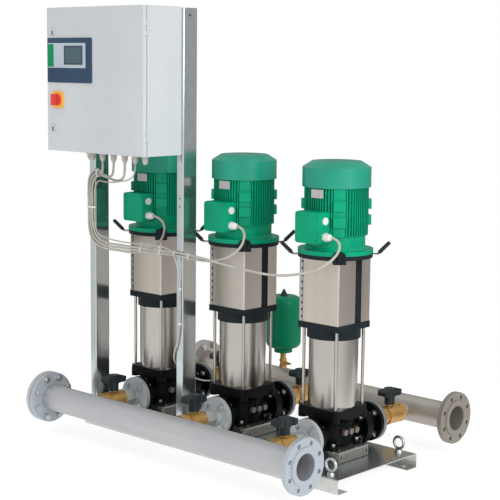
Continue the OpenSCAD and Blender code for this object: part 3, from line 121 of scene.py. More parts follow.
# %% Shared turns of the motor cables
GLAND_X = {n: -550 + 70 * n for n in PUMPS}
GLAND_Y, GLAND_END_Z = -365, 1210
LAY_Y = -262  # the plane that the trunk and the bundle lie in
TRUNK_X, SWING_Z, BUNDLE_Z = -706, 1170, 806  # where a cable numbered 0 would lie
TRUNK_STEP, SWING_STEP, BUNDLE_STEP = 12, 10.6, 12
GLAND_BEND = ((0, 44), (6, 21), (22, 5), (44, -2))
TRUNK_TURN = ((120, -292, -2), (66, -267, -2), (40, -263, -5), (18, LAY_Y, -18),
              (4, LAY_Y, -40), (0, LAY_Y, -66))
TRUNK_Z = (990, 940)
BUNDLE_TURN = ((6, 66), (22, 32), (52, 11), (96, 1))
print("glands of the motor cables:", GLAND_X)

# %% [markdown]
# What differs is how far each cable runs in the bundle, and its loop up to the motor.
# One loop could serve all three, but the real ones hang differently, so each has its
# own points, wide enough that no bend is much tighter than four diameters.

# %% Routes of the motor cables
BOX_GLAND_X, BOX_GLAND_Y, BOX_GLAND_Z, BOX_GLAND_STUB = 98, -144, 965, 6
RUNS = {
    1: [(-500, -261, 817), (-440, -258, 816)],
    2: [(-480, LAY_Y, 830), (-300, LAY_Y, 829), (-126, LAY_Y, 832), (-10, -256, 826)],
    3: [(-480, LAY_Y, 842), (-300, LAY_Y, 840), (-126, LAY_Y, 844), (0, LAY_Y, 838),
        (90, LAY_Y, 829), (280, LAY_Y, 814), (405, -256, 811)],
}
LOOPS = {
    1: [(110, -246, 818), (150, -238, 828), (178, -220, 844), (190, -194, 866), (188, -170, 893),
        (177, -153, 921), (158, -145, 945), (131, BOX_GLAND_Y, 960)],
    2: [(55, -246, 828), (102, -240, 838), (133, -228, 851), (149, -208, 868), (153, -184, 886),
        (151, -164, 907), (147, -152, 928), (140, -146, 944.5), (125, BOX_GLAND_Y, 959.5)],
    3: [(23, -244, 828), (72, -224, 842), (108, -200, 864), (132, -178, 889), (142, -163, 909),
        (145, -152, 928), (139.5, -146, 944.5), (125, BOX_GLAND_Y, 959.5)],
}


def motor_cable_route(n):
    """The route of motor cable n, in millimetres, from the cabinet gland to the terminal box."""
    gland, trunk, bundle = GLAND_X[n], TRUNK_X + TRUNK_STEP * n, BUNDLE_Z + BUNDLE_STEP * n
    high = SWING_Z - SWING_STEP * n
    swing = np.array([trunk + TRUNK_TURN[0][0] - gland, TRUNK_TURN[0][1] - GLAND_Y], float)
    swing /= np.linalg.norm(swing)
    drop = [(gland, GLAND_Y, GLAND_END_Z)]
    drop += [(gland + r * swing[0], GLAND_Y + r * swing[1], high + z) for r, z in GLAND_BEND]
    hang = [(trunk + x, y, high + z) for x, y, z in TRUNK_TURN]
    hang += [(trunk, LAY_Y, z) for z in TRUNK_Z]
    hang += [(trunk + x, LAY_Y, bundle + z) for x, z in BUNDLE_TURN]
    loop = [(PUMP_X[n] + x, y, z) for x, y, z in LOOPS[n]]
    end = [(PUMP_X[n] + BOX_GLAND_X + out, BOX_GLAND_Y, BOX_GLAND_Z)
           for out in (BOX_GLAND_STUB, 0)]
    return drop + hang + RUNS[n] + loop + end


print("points of the motor cables:", [len(motor_cable_route(n)) for n in PUMPS])

# %% [markdown]
# The thin sensor cable follows the trunk and the bundle, drops down the right post,
# passes the middle pump and ends in a drip loop above the sensor on the far manifold.
# It shares no turn with another cable, so its route is one plain list.

# %% Route of the sensor cable
SENSOR_ROUTE = [
    (-275, -365, 1210), (-276, -365, 1184), (-286, -366, 1158), (-316, -368, 1141),
    (-372, -362, 1131), (-440, -340, 1121), (-560, -298, 1115), (-612, -270, 1113),
    (-640, -262, 1101), (-654, -260, 1078), (-658, -260, 1050), (-658, -260, 990),
    (-658, -260, 940), (-650, -260, 898), (-630, -260, 874), (-592, -260, 866),
    (-300, -260, 858), (-196, -264, 856), (-150, -271, 842), (-128, -272, 806),
    (-120, -264, 750), (-118, -259, 690), (-118, -259, 545), (-130, -260, 470),
    (-146, -262, 425), (-156, -257, 392), (-159, -236, 362), (-158, -200, 334),
    (-152, -166, 306), (-136, -130, 284), (-116, -102, 276), (-105, -64, 275),
    (-104, 0, 275), (-104, 100, 275), (-106, 150, 268), (-106, 220, 246), (-104, 320, 226),
    (-96, 410, 216), (-78, 476, 215), (-44, 526, 216), (-24, 533, 217), (-9, 534, 221.5),
    (1.5, 534, 232.5), (5.5, 534, 249), (5.5, 534, 297), (9, 534, 313), (19, 534, 323.5),
    (32.5, 534, 327), (46, 534, 323.5), (56, 534, 313), (60, 534.15, 298), (60, 534.15, 277.15)]
print("points of the sensor cable:", len(SENSOR_ROUTE))

# %% [markdown]
# A smooth line through the points is a cubic piece between each two, whose end slopes
# are the slopes of the chord across each point. Blender could round the points with
# handles of its own, but worked out here the line's length is known. A stiff cable
# spreads its bends, so the line is then relaxed: each point moves a little towards the
# middle of its neighbours, many times, while both ends and their directions stay.

# %% Smooth lines


def smooth_line(points, step=0.006):
    """Hermite cubics through the points: p(t) = h00 p0 + h10 m0 + h01 p1 + h11 m1, where the
    slope m at a point is the chord between its neighbours over their distance along the route."""
    p = place(points)
    s = np.concatenate([[0], np.cumsum(np.linalg.norm(np.diff(p, axis=0), axis=1))])
    slope = np.gradient(p, s, axis=0)
    at = np.linspace(0, s[-1], int(s[-1] / step))
    i = np.clip(np.searchsorted(s, at, side="right") - 1, 0, len(s) - 2)
    gap = (s[i + 1] - s[i])[:, None]
    t = (at[:, None] - s[i][:, None]) / gap
    return ((2 * t**3 - 3 * t**2 + 1) * p[i] + (t**3 - 2 * t**2 + t) * gap * slope[i]
            + (3 * t**2 - 2 * t**3) * p[i + 1] + (t**3 - t**2) * gap * slope[i + 1])


def relaxed(line, rounds=6, held=2):
    """Moves each point to (before + 2 here + after) / 4, in rounds. The end points are held."""
    eased = line.copy()
    for _ in range(rounds):
        before, here, after = (eased[held + k:len(eased) - held + k] for k in (-1, 0, 1))
        eased[held:-held] = (before + 2 * here + after) / 4
    return eased


print("points of a smooth motor cable:", len(smooth_line(motor_cable_route(1))))

# %% [markdown]
# The cable itself is a long round sheath. It could be a mesh tube, but a curve with a
# round bevel is shorter and keeps its path. Each point's radius is the cable's own, in
# metres, on a bevel of depth one, so that the curve's box stays true.

# %% Cables
MOTOR_CABLE_D, SENSOR_CABLE_D = 0.010, 0.006


def lay_cable(name, points, diameter):
    """A round cable along a relaxed line: a bevelled curve that stands for the solid so named."""
    line = relaxed(smooth_line(points))
    data = bpy.data.curves.new(name + "_sheath", "CURVE")
    data.dimensions = "3D"
    data.bevel_depth, data.bevel_resolution, data.use_fill_caps = 1.0, 5, True
    spline = data.splines.new("POLY")
    spline.points.add(len(line) - 1)
    spline.points.foreach_set("co", np.column_stack([line, np.ones(len(line))]).ravel())
    spline.points.foreach_set("radius", np.full(len(line), diameter / 2))
    cable = bpy.data.objects.new(name + "_sheath", data)
    bpy.context.scene.collection.objects.link(cable)
    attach(cable, "set")
    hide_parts(name)
    return cable


cables = [lay_cable(f"motor_cable_{n}", motor_cable_route(n), MOTOR_CABLE_D) for n in PUMPS]
cables.append(lay_cable("sensor_cable", SENSOR_ROUTE, SENSOR_CABLE_D))

# %% [markdown]
# Every finish below is a small tree of shader nodes. One function adds a node, sets
# its options and fills its inputs with numbers or links. Colours are written as the
# hex values a painter would read off a chart, and turned to linear light once.

# %% Helpers for finishes


def linear(code):
    """sRGB hex to linear light: ((c + 0.055) / 1.055) ^ 2.4, or c / 12.92 near black."""
    c = np.array([int(code[i:i + 2], 16) for i in (1, 3, 5)]) / 255
    light = np.where(c <= 0.04045, c / 12.92, ((c + 0.055) / 1.055) ** 2.4)
    return (*light.tolist(), 1.0)


def add(tree, kind, settings=None, inputs=None):
    """Adds one node, sets its options, and fills its inputs with values or links."""
    made = tree.nodes.new(kind)
    for name, value in (settings or {}).items():
        setattr(made, name, value)
    for name, value in (inputs or {}).items():
        if isinstance(value, bpy.types.NodeSocket):
            tree.links.new(value, made.inputs[name])
        else:
            made.inputs[name].default_value = value
    return made


def per_mm(size_mm):
    """The texture scale whose pattern repeats about once in size_mm, on coordinates in metres."""
    return 1000.0 / size_mm


print("half grey in linear light:", round(linear("#808080")[0], 3))

# %% [markdown]
# A finish has three layers. A wide, soft blotch moves the colour between two tones,
# a fine grain moves the roughness and the height, and the edges turn paler: where a
# rounded normal leaves the true one, the surface turns to a paler edge tone, which is
# partly scuffing and partly a painted highlight. It could be painted as a picture, but
# nodes need no unwrapping, and every size is in millimetres, so the patterns keep their
# real scale on large and small pieces alike.

# %% One finish
NOISE_LOW, NOISE_HIGH = 0.3, 0.7  # most values of a noise lie between these
RUB_STARTS, RUB_FULL = 0.985, 0.80  # cosines between the rounded and the true normal


def finish(name, pale, dark, roughness, spread, grain_mm, metallic=0.0, stretch=(1, 1, 1),
           bump=0.0, edge_mm=0.8, coat=0.0, blotch_mm=120.0, specular=0.5, worn=None, wear=0.5):
    """A surface with a blotched colour, a grained roughness and height, and paler edges that
    are partly scuffing and partly a painted highlight. The grain moves the roughness by
    spread up and down, and bump is its height in mm."""
    made = bpy.data.materials.new(name)
    made.use_nodes = True
    tree = made.node_tree
    shader = tree.nodes["Principled BSDF"]
    shader.inputs["Metallic"].default_value = metallic
    shader.inputs["Coat Weight"].default_value = coat
    shader.inputs["Specular IOR Level"].default_value = specular
    spot = add(tree, "ShaderNodeTexCoord").outputs["Object"]
    drawn = add(tree, "ShaderNodeMapping", None,
                {"Vector": spot, "Scale": stretch}).outputs["Vector"]
    grain = add(tree, "ShaderNodeTexNoise", None,
                {"Vector": drawn, "Scale": per_mm(grain_mm), "Detail": 4.0, "Roughness": 0.6})
    blotch = add(tree, "ShaderNodeTexNoise", None,
                 {"Vector": drawn, "Scale": per_mm(blotch_mm), "Detail": 3.0})
    spread_out = add(tree, "ShaderNodeMapRange", None,
                     {"Value": blotch.outputs["Fac"],
                      "From Min": NOISE_LOW, "From Max": NOISE_HIGH})
    tone = add(tree, "ShaderNodeMix", {"data_type": "RGBA"},
               {"Factor": spread_out.outputs["Result"], "A": linear(dark), "B": linear(pale)})
    edge = add(tree, "ShaderNodeBevel", {"samples": 4}, {"Radius": edge_mm / 1000})
    flat = add(tree, "ShaderNodeNewGeometry").outputs["True Normal"]
    turned = add(tree, "ShaderNodeVectorMath", {"operation": "DOT_PRODUCT"},
                 {0: edge.outputs["Normal"], 1: flat}).outputs["Value"]
    # Painted edge highlight mixed with scuffing: edges turn towards a paler tone where the rounded
    # normal leaves the true one.
    rubbed = add(tree, "ShaderNodeMapRange", None,
                 {"Value": turned, "From Min": RUB_STARTS, "From Max": RUB_FULL,
                  "To Min": 0.0, "To Max": wear})
    touched = add(tree, "ShaderNodeMath", {"operation": "MULTIPLY"},
                  {0: rubbed.outputs["Result"], 1: grain.outputs["Fac"]})
    shown = add(tree, "ShaderNodeMix", {"data_type": "RGBA"},
                {"Factor": touched.outputs["Value"], "A": tone.outputs[2],
                 "B": linear(worn or pale)})
    rough = add(tree, "ShaderNodeMapRange", None,
                {"Value": grain.outputs["Fac"], "From Min": NOISE_LOW, "From Max": NOISE_HIGH,
                 "To Min": roughness - spread, "To Max": roughness + spread})
    height = add(tree, "ShaderNodeBump", None,
                 {"Height": grain.outputs["Fac"], "Distance": bump / 1000, "Strength": 1.0,
                  "Normal": edge.outputs["Normal"]})
    tree.links.new(shown.outputs[2], shader.inputs["Base Color"])
    tree.links.new(rough.outputs["Result"], shader.inputs["Roughness"])
    tree.links.new(height.outputs["Normal"], shader.inputs["Normal"])
    return made


print("an edge is fully rubbed at", round(math.degrees(math.acos(RUB_FULL))), "degrees of turn")

# %% [markdown]
# Some solids are made of two things, such as a yellow plate with a black switch block
# behind it. They could be cut in two, but the border is always flat, so a second colour
# is laid over a box of space: along each axis, a point counts when its distance from a
# middle is at most a half width, and the box may repeat from pump to pump.

# %% Second colour inside a box


def overlay(made, colour, bands, metallic=None):
    """Lays a colour over the finish inside all the bands. A band is (axis, middle, half width,
    repeat) in millimetres, and a repeat of 0 means that it comes once."""
    tree = made.node_tree
    shader = tree.nodes["Principled BSDF"]
    spot = add(tree, "ShaderNodeTexCoord").outputs["Object"]
    along = add(tree, "ShaderNodeSeparateXYZ", None, {"Vector": spot}).outputs
    inside = 1.0
    for axis, middle, half, repeat in bands:
        off = add(tree, "ShaderNodeMath", {"operation": "SUBTRACT"},
                  {0: along[axis], 1: middle / 1000 + AXIS["XYZ".index(axis)]}).outputs["Value"]
        if repeat:
            ahead_of = add(tree, "ShaderNodeMath", {"operation": "ADD"},
                           {0: off, 1: repeat / 2000})
            turn = add(tree, "ShaderNodeMath", {"operation": "FLOORED_MODULO"},
                       {0: ahead_of.outputs["Value"], 1: repeat / 1000})
            off = add(tree, "ShaderNodeMath", {"operation": "SUBTRACT"},
                      {0: turn.outputs["Value"], 1: repeat / 2000}).outputs["Value"]
        near = add(tree, "ShaderNodeMath", {"operation": "COMPARE"},
                   {0: off, 1: 0.0, 2: half / 1000})
        inside = add(tree, "ShaderNodeMath", {"operation": "MULTIPLY"},
                     {0: near.outputs["Value"], 1: inside}).outputs["Value"]
    below = shader.inputs["Base Color"].links[0].from_socket
    mixed = add(tree, "ShaderNodeMix", {"data_type": "RGBA"},
                {"Factor": inside, "A": below, "B": linear(colour)})
    tree.links.new(mixed.outputs[2], shader.inputs["Base Color"])
    if metallic is not None:
        bare = shader.inputs["Metallic"].default_value
        share = add(tree, "ShaderNodeMath", {"operation": "MULTIPLY_ADD"},
                    {0: inside, 1: metallic - bare, 2: bare})
        tree.links.new(share.outputs["Value"], shader.inputs["Metallic"])
    print("second colour", colour, "on", made.name)


# %% [markdown]
# The metals. Galvanised sheet is zinc that froze in soft-edged crystals, so its blotch
# is small and faint, and a new sheet still mirrors what stands on it. Pickled stainless
# pipe is matt and even. One grey metal could serve for all, but side by side they differ
# in warmth and in how clearly they mirror, so each sheet and pipe has its own values.

# %% Sheet and pipe
# Hot-dipped zinc on rolled sheet: a cold, clear mirror with faint crystals.
galvanised = finish("galvanised_steel_sheet", "#c3c9ca", "#bbc2c3", roughness=0.15, spread=0.02,
                    grain_mm=9.0, metallic=0.95, bump=0.0015, blotch_mm=40, worn="#e4e9ea")
# The same zinc on the folded deck: duller, so what stands on it mirrors softly.
deck_sheet = finish("galvanised_steel_sheet_folded", "#cccdca", "#c3c4c1", roughness=0.28,
                    spread=0.03, grain_mm=9.0, metallic=0.9, bump=0.0015, blotch_mm=40,
                    worn="#dfe0dd")
# Zinc on the pedestals: greyer and warmer than the deck.
pedestal_sheet = finish("galvanised_steel_sheet_pedestal", "#b4b3ae", "#a8a7a2", roughness=0.26,
                        spread=0.03, grain_mm=9.0, metallic=0.9, bump=0.0015, blotch_mm=40,
                        worn="#d5d6d3")
# Acid-cleaned stainless: matt, warm and even, drawn out along the pipe.
pickled = finish("stainless_pipe_pickled", "#b9b3ac", "#aca69f", roughness=0.46, spread=0.06,
                 grain_mm=2.0, metallic=0.7, stretch=(0.2, 1, 1), bump=0.01, blotch_mm=90)
# The front pipe has the same matt skin, cooler and with less of a mirror in it.
suction_metal = finish("stainless_pipe_pickled_steel_ends", "#b7b8ba", "#acadb0", roughness=0.48,
                       spread=0.06, grain_mm=2.0, metallic=0.5, stretch=(0.2, 1, 1), bump=0.01,
                       blotch_mm=90)
print("sheet and pipe finishes: 5")

# %% [markdown]
# Brushed and polished stainless keep the upright lines of the belt, strong or nearly
# worn away. A picture of grooves would need unwrapping round each barrel, so a noise is
# stretched along the height instead. The lines are really thinner than a tenth of a
# millimetre, and are drawn about a millimetre wide so that they show. Plated steel has
# no direction, so its grain is plain.

# %% Brushed, polished and plated metals
# Belt-brushed stainless: light spreads into soft upright streaks.
guard_sheet = finish("stainless_sheet_brushed", "#d0c6bc", "#bdb4aa", roughness=0.34, spread=0.08,
                     grain_mm=1.2, metallic=1.0, stretch=(1, 1, 0.02), bump=0.006, worn="#e6e1da")
# Polished tube: tall reflections with clear borders and dark sides.
barrel_tube = finish("stainless_tube_polished", "#bfbab4", "#b4aea8", roughness=0.24, spread=0.03,
                     grain_mm=1.2, metallic=1.0, stretch=(1, 1, 0.02), bump=0.001)
# Bright zinc plating: small sharp lights on rounded steel.
zinc = finish("steel_zinc_plated", "#c9cccd", "#b1b6b9", roughness=0.30, spread=0.08,
              grain_mm=3.0, metallic=1.0, bump=0.01, edge_mm=0.6)
# Plated bolts and plugs: the brightest points on the dark castings.
fixings = finish("steel_fixings_zinc_plated", "#d3d6d8", "#bbc0c4", roughness=0.32, spread=0.08,
                 grain_mm=3.0, metallic=1.0, bump=0.01, edge_mm=0.6)
print("brushed, polished and plated finishes: 4")

# %% [markdown]
# Cast and pressed metals are rougher. Black castings keep the skin of the sand mould
# under their dip paint, and their edges turn grey, partly scuffed to iron and partly a
# painted highlight. Hot-pressed brass has a satin skin, and its paler corners are partly
# scuffing and partly a painted highlight.

# %% Cast, pressed and turned metals
# Turned and plated steel: a flat pale grey that hardly mirrors.
flange_metal = finish("steel_flange_turned", "#bcc1c4", "#acb1b4", roughness=0.42, spread=0.08,
                      grain_mm=2.5, metallic=0.35, bump=0.015, worn="#cdd1d4")
# Hot-pressed brass: a warm satin skin; its brighter corners are partly scuffing and partly a
# painted highlight.
brass = finish("brass_hot_pressed", "#caa464", "#b48d4d", roughness=0.38, spread=0.1,
               grain_mm=1.6, metallic=0.75, bump=0.05, blotch_mm=30, worn="#e6cb96")
# Black dip paint on sand-cast iron: deep black and soft lights; its grey edges are partly scuffing
# and partly a painted highlight.
cast_iron = finish("cast_iron_dip_painted", "#0a0b0d", "#060708", roughness=0.38, spread=0.1,
                   grain_mm=1.8, bump=0.06, edge_mm=1.5, blotch_mm=60, specular=0.1,
                   worn="#3a3f43", wear=0.35)
# Slate spray paint on cast iron: blue black, a little paler than the casings.
slate_iron = finish("cast_iron_sprayed_slate", "#1d262b", "#171f23", roughness=0.44, spread=0.08,
                    grain_mm=1.8, bump=0.05, edge_mm=1.5, blotch_mm=60, specular=0.12,
                    worn="#465057", wear=0.35)
# Varnished copper wire: a deep red brown with a broken shine.
copper = finish("copper_winding_varnished", "#8a4d26", "#6a3518", roughness=0.4, spread=0.1,
                grain_mm=1.5, metallic=0.6, bump=0.2)
print("cast, pressed and turned finishes: 5")

# %% [markdown]
# The paints. Sprayed enamel flows out almost smooth, powder coat keeps a fine orange
# peel. Gloss changes with what lies beneath, so castings, the vessel and pressed sheet
# each have a green of their own, with none of them metallic. The vessel's green is
# deeper, and the paler, greyer green of the pressed fan covers is a painted sheen.

# %% Paints
# Enamel sprayed on castings: a strong green and soft lights; its paler edges are partly scuffing
# and partly a painted highlight.
green = finish("enamel_sprayed_green", "#009e76", "#008c68", roughness=0.36, spread=0.06,
               grain_mm=3.0, bump=0.02, edge_mm=1.2, specular=0.14, worn="#3fb893")
# Enamel on the smooth vessel: a deeper green with one long soft light.
vessel_green = finish("enamel_sprayed_green_vessel", "#007a57", "#006d4c", roughness=0.34,
                      spread=0.06, grain_mm=3.0, bump=0.02, edge_mm=1.2, specular=0.16,
                      worn="#2c9f7c", wear=0.4)
# Enamel on pressed sheet: smoother, so it shines more; its paler, greyer green is a painted sheen.
cover_green = finish("enamel_sprayed_green_sheet_painted_sheen", "#1f957b", "#15866d", roughness=0.32,
                     spread=0.06, grain_mm=3.0, bump=0.02, edge_mm=1.5, coat=0.06, specular=0.3,
                     worn="#69c2a8", wear=0.6)
# Baked powder: an even pale grey with a fine orange peel.
powder = finish("powder_coat_light_grey", "#cdd2d5", "#c3c8cc", roughness=0.46, spread=0.05,
                grain_mm=1.4, bump=0.03, edge_mm=2.0, blotch_mm=400, specular=0.4, worn="#dde1e3")
print("paints: 4")

# %% [markdown]
# Moulded nylon takes the dull grain of its mould, a painted die casting and an extruded
# sheath are a little smoother. The grain is only some tenths of a millimetre across,
# and is drawn at one or two millimetres so that it shows.

# %% Nylon, painted zinc and cable sheath
# Glass-filled nylon: a dull blue black; its pale edges are partly where hands rub it and partly a
# painted highlight.
black_nylon = finish("nylon_moulded_black", "#1f282b", "#171f22", roughness=0.46, spread=0.08,
                     grain_mm=1.0, bump=0.03, edge_mm=2.0, specular=0.3, worn="#59645f")
# Slate nylon: an even dark grey with a soft shine.
frame_nylon = finish("nylon_moulded_slate", "#3c4a55", "#33404a", roughness=0.46, spread=0.06,
                     grain_mm=1.0, bump=0.02, specular=0.3, worn="#55646f")
# Housings of the switchgear: pale, dull and even.
pale_plastic = finish("nylon_moulded_pale_grey", "#e2e2de", "#d2d2cd", roughness=0.46,
                      spread=0.06, grain_mm=1.0, bump=0.01)
# Gland nuts: nearly white, with a faint shine on their flats.
gland_nylon = finish("nylon_moulded_gland_grey", "#e6e6e3", "#d8d8d4", roughness=0.44,
                     spread=0.06, grain_mm=1.0, bump=0.01)
# Ties and clips: white and slightly waxy.
white_nylon = finish("nylon_moulded_white", "#dfdfdb", "#d3d3ce", roughness=0.42, spread=0.06,
                     grain_mm=1.0, bump=0.01)
# A painted die casting: smooth pale grey without a mirror.
lock_metal = finish("zinc_die_cast_painted", "#c6cbce", "#bcc1c5", roughness=0.40, spread=0.05,
                    grain_mm=1.0, bump=0.01, worn="#d8dcde")
# Extruded soft PVC: warm grey and dull, with faint blotches along its length.
sheath = finish("pvc_sheath_extruded_grey", "#b9b6ae", "#a9a69e", roughness=0.48, spread=0.06,
                grain_mm=2.0, bump=0.01, blotch_mm=45)
print("nylon, painted zinc and sheath finishes: 7")

# %% [markdown]
# Films and glossy mouldings are so even that only their lights tell them from paint, so
# they get almost no bump and a narrow spread of roughness. Foamed rubber is the other
# end: so rough that it has no lights at all.

# %% Films, moulded colours and rubber
# Moulded ABS: an even dark blue with a fine mould grain.
blue_plastic = finish("abs_moulded_dark_blue", "#2b4661", "#223c56", roughness=0.42, spread=0.05,
                      grain_mm=1.0, bump=0.02, specular=0.3, worn="#4d6681")
# Polyester film: a pale blue grey, smooth and flat.
field_film = finish("polyester_film_light_grey", "#b9c5cd", "#afbcc5", roughness=0.36,
                    spread=0.04, grain_mm=1.0, bump=0.005)
# A dark liquid crystal cell under glass: grey green with a clear shine.
screen_glass = finish("lcd_cell_unlit", "#4a656c", "#405a61", roughness=0.20, spread=0.03,
                      grain_mm=4.0, coat=0.1, specular=0.25)
# The end of the film: a strong even green.
strip_film = finish("polyester_film_green", "#009061", "#008355", roughness=0.38, spread=0.04,
                    grain_mm=1.0, specular=0.15)
# Moulded ABS: a warm yellow with a soft shine.
yellow = finish("abs_moulded_yellow", "#f7c063", "#efb450", roughness=0.40, spread=0.05,
                grain_mm=1.0, bump=0.01, specular=0.3)
# Moulded ABS: a clear red that stands out from the yellow.
red = finish("abs_moulded_red", "#e2493f", "#d33b32", roughness=0.38, spread=0.05, grain_mm=1.0,
             bump=0.01, specular=0.4)
# Foamed rubber: nearly black, with no shine.
rubber = finish("epdm_rubber_foamed", "#1a1c1e", "#121415", roughness=0.75, spread=0.08,
                grain_mm=0.8, bump=0.05, specular=0.2)
print("films, moulded colours and rubber: 7")

# %% [markdown]
# The second colours. The switch has a black block behind its yellow plate, the casing
# plugs have dulled to brown grey and the lug bolts are black. They share a solid with
# what is next to them, so each gets a box of its own.

# %% Second colours on the switch and the fixings
switch_front = corners("main_switch_plate")[0][1]
SWITCH_PLATE_T, SWITCH_BLOCK_DEEP = 6.0, 60.0
overlay(yellow, "#1c2124", [("Y", switch_front + SWITCH_PLATE_T + SWITCH_BLOCK_DEEP / 2,
                             SWITCH_BLOCK_DEEP / 2, 0)])
PLUG_Z, PLUG_HALF_Z, PLUG_Y, PLUG_HALF_Y = 170.0, 22, 14, 52
overlay(fixings, "#746b63", [("Z", PLUG_Z, PLUG_HALF_Z, 0), ("Y", PLUG_Y, PLUG_HALF_Y, 0)],
        metallic=0.5)
LUG_BOLT_Z, LUG_BOLT_HALF = 905.0, 24
overlay(fixings, "#15181a", [("Z", LUG_BOLT_Z, LUG_BOLT_HALF, 0)])

# %% [markdown]
# Both end flanges of the suction pipe are bare steel, those behind the pumps and at
# the end of the discharge pipe are duller ones. A steel nipple joins each brass valve
# in front to its pump.

# %% Second colours on the pipes
END_FLANGE_T, REAR_FLANGE_Y, REAR_FLANGE_HALF = 26.0, 210.0, 110.0
END_FLANGE_HALF = END_FLANGE_T / 2 + 0.5  # a little over, so that no face lies on the border
NIPPLE_Y, NIPPLE_HALF = -215.0, 29.5
pipe_low, pipe_high = (corner[0] for corner in corners("suction_manifold"))
left_flange, right_flange = pipe_low + END_FLANGE_T / 2, pipe_high - END_FLANGE_T / 2
for middle in (left_flange, right_flange):
    overlay(suction_metal, "#adb4bb", [("X", middle, END_FLANGE_HALF, 0)])
overlay(brass, "#b6b7b3", [("Y", NIPPLE_Y, NIPPLE_HALF, 0)])
overlay(flange_metal, "#7d8082", [("Y", REAR_FLANGE_Y, REAR_FLANGE_HALF, 0)])
overlay(pickled, "#837d75", [("X", right_flange, END_FLANGE_HALF, 0)], metallic=0.3)

# %% [markdown]
# The top of the deck is a shade darker than its skirt, which is painted shade. The
# glands under the cabinet are greyer than those of the motors. Each door lock has a
# dark upright slot, painted shade standing for the depth of its key slot. Each guard
# has a greyer edge on its left with a dark line beside it, painted shade standing for
# a folded edge.

# %% Second colours on the deck, the glands, the locks and the guards
DECK_SKIN_HALF, CABINET_GLAND_UP, CABINET_GLAND_HALF = 0.6, 30, 40
deck_top = corners("base_deck")[1][2]
# Painted shade: the top face of the deck is darker than its skirt.
overlay(deck_sheet, "#b0b6b5", [("Z", deck_top, DECK_SKIN_HALF, 0)])
overlay(gland_nylon, "#bdb8b1", [("Z", GLAND_END_Z + CABINET_GLAND_UP, CABINET_GLAND_HALF, 0)])
LOCK_SLOT_W, LOCK_SLOT_H = 8.0, 18.0
for name in ("upper_door_lock", "lower_door_lock"):
    lock = np.mean(corners(name), axis=0)
    # Painted shade: a dark upright patch stands for the depth of the key slot.
    overlay(lock_metal, "#2b3033", [("X", lock[0], LOCK_SLOT_W / 2, 0),
                                    ("Z", lock[2], LOCK_SLOT_H / 2, 0)])
guard_left, guard_front, _ = corners("coupling_guards")[0]
GUARD_EDGE_W, GUARD_LINE_W = 22.0, 3.0
FACE_BAND = ("Y", guard_front, 1.0, 0)
# Painted shade: the greyer left edge and the dark line beside it stand for the shade of a folded
# edge.
overlay(guard_sheet, "#b3b0ac", [("X", guard_left + GUARD_EDGE_W / 2, GUARD_EDGE_W / 2, PITCH),
                                 FACE_BAND])
overlay(guard_sheet, "#6b675f", [("X", guard_left + GUARD_EDGE_W + GUARD_LINE_W / 2,
                                  GUARD_LINE_W / 2, PITCH), FACE_BAND])

# %% [markdown]
# Each solid now takes its finish. A solid of the CAD model is never changed: only its
# material slots are filled. What every pump has once is added in a loop.

# %% Finishes of the solids
WEAR = {
    galvanised: ["panel_posts", "gear_plate"],
    deck_sheet: ["base_deck"],
    pedestal_sheet: ["pump_pedestals"],
    pickled: ["discharge_manifold"],
    suction_metal: ["suction_manifold"],
    guard_sheet: ["coupling_guards"],
    barrel_tube: ["pump_barrels", "stage_casings", "tie_rods"],
    zinc: ["lifting_eyes", "bearings_and_seals", "pressure_sensor"],
    lock_metal: ["upper_door_lock", "lower_door_lock"],
    fixings: ["bolts_pins_and_plugs"],
    flange_metal: ["pipe_flanges"],
    brass: ["ball_valve_bodies", "vessel_valve", "vessel_valve_lever"],
    cast_iron: ["check_valve_bodies"],
    slate_iron: [],
    copper: ["motor_stators"],
    green: ["motor_terminal_boxes"],
    vessel_green: ["pressure_vessel"],
    cover_green: ["motor_fan_covers"],
    powder: ["cabinet_body", "cabinet_door"],
    black_nylon: ["handle_grips", "vessel_cap"],
    pale_plastic: ["switchgear"],
    gland_nylon: ["cable_glands"],
    rubber: ["door_gasket"],
    blue_plastic: ["control_panel"],
    yellow: ["main_switch_plate"],
    red: ["main_switch_knob"],
}
for n in PUMPS:
    WEAR[cast_iron] += [f"pump_{n}_base"]
    WEAR[slate_iron] += [f"pump_{n}_lantern"]
    WEAR[zinc] += [f"pump_{n}_rotor"]
    WEAR[green] += [f"motor_{n}_frame"]
    WEAR[black_nylon] += [f"suction_valve_{n}_handle", f"discharge_valve_{n}_handle"]
    WEAR[barrel_tube] += [f"check_valve_{n}_disc"]
for made, names in WEAR.items():
    for name in names:
        nodes[name].data.materials.clear()
        nodes[name].data.materials.append(made)
for cable in cables:
    cable.data.materials.append(sheath)
dressed = {name for names in WEAR.values() for name in names}
print("finishes:", len(WEAR), "under a sheath:", sorted(set(nodes) - dressed))

# %% [markdown]
# The small trim is built from two kinds of surface. A plate, a film or a tie is an
# outline with round corners that is carried through layers, each drawn in by an inset
# and set at a depth. A screw or rivet is a profile turned about an axis. Ready-made
# cubes and cylinders would need their edges rounded afterwards. Both kinds here are a
# stack of rings with the rounding in it, so one function joins neighbouring rings.
# The rings come first, then the two kinds of surface.

# %% Rings and faces


def round_outline(width, height, radius, steps=7):
    """Points round a rectangle with round corners: each is centre + radius (cos a, sin a)."""
    angle = np.linspace(0, np.pi / 2, steps)
    turn = np.concatenate([angle + k * np.pi / 2 for k in range(4)])
    side = np.repeat([[1, 1], [-1, 1], [-1, -1], [1, -1]], steps, axis=0)
    core = side * [width / 2 - radius, height / 2 - radius]
    return core + radius * np.column_stack([np.cos(turn), np.sin(turn)])


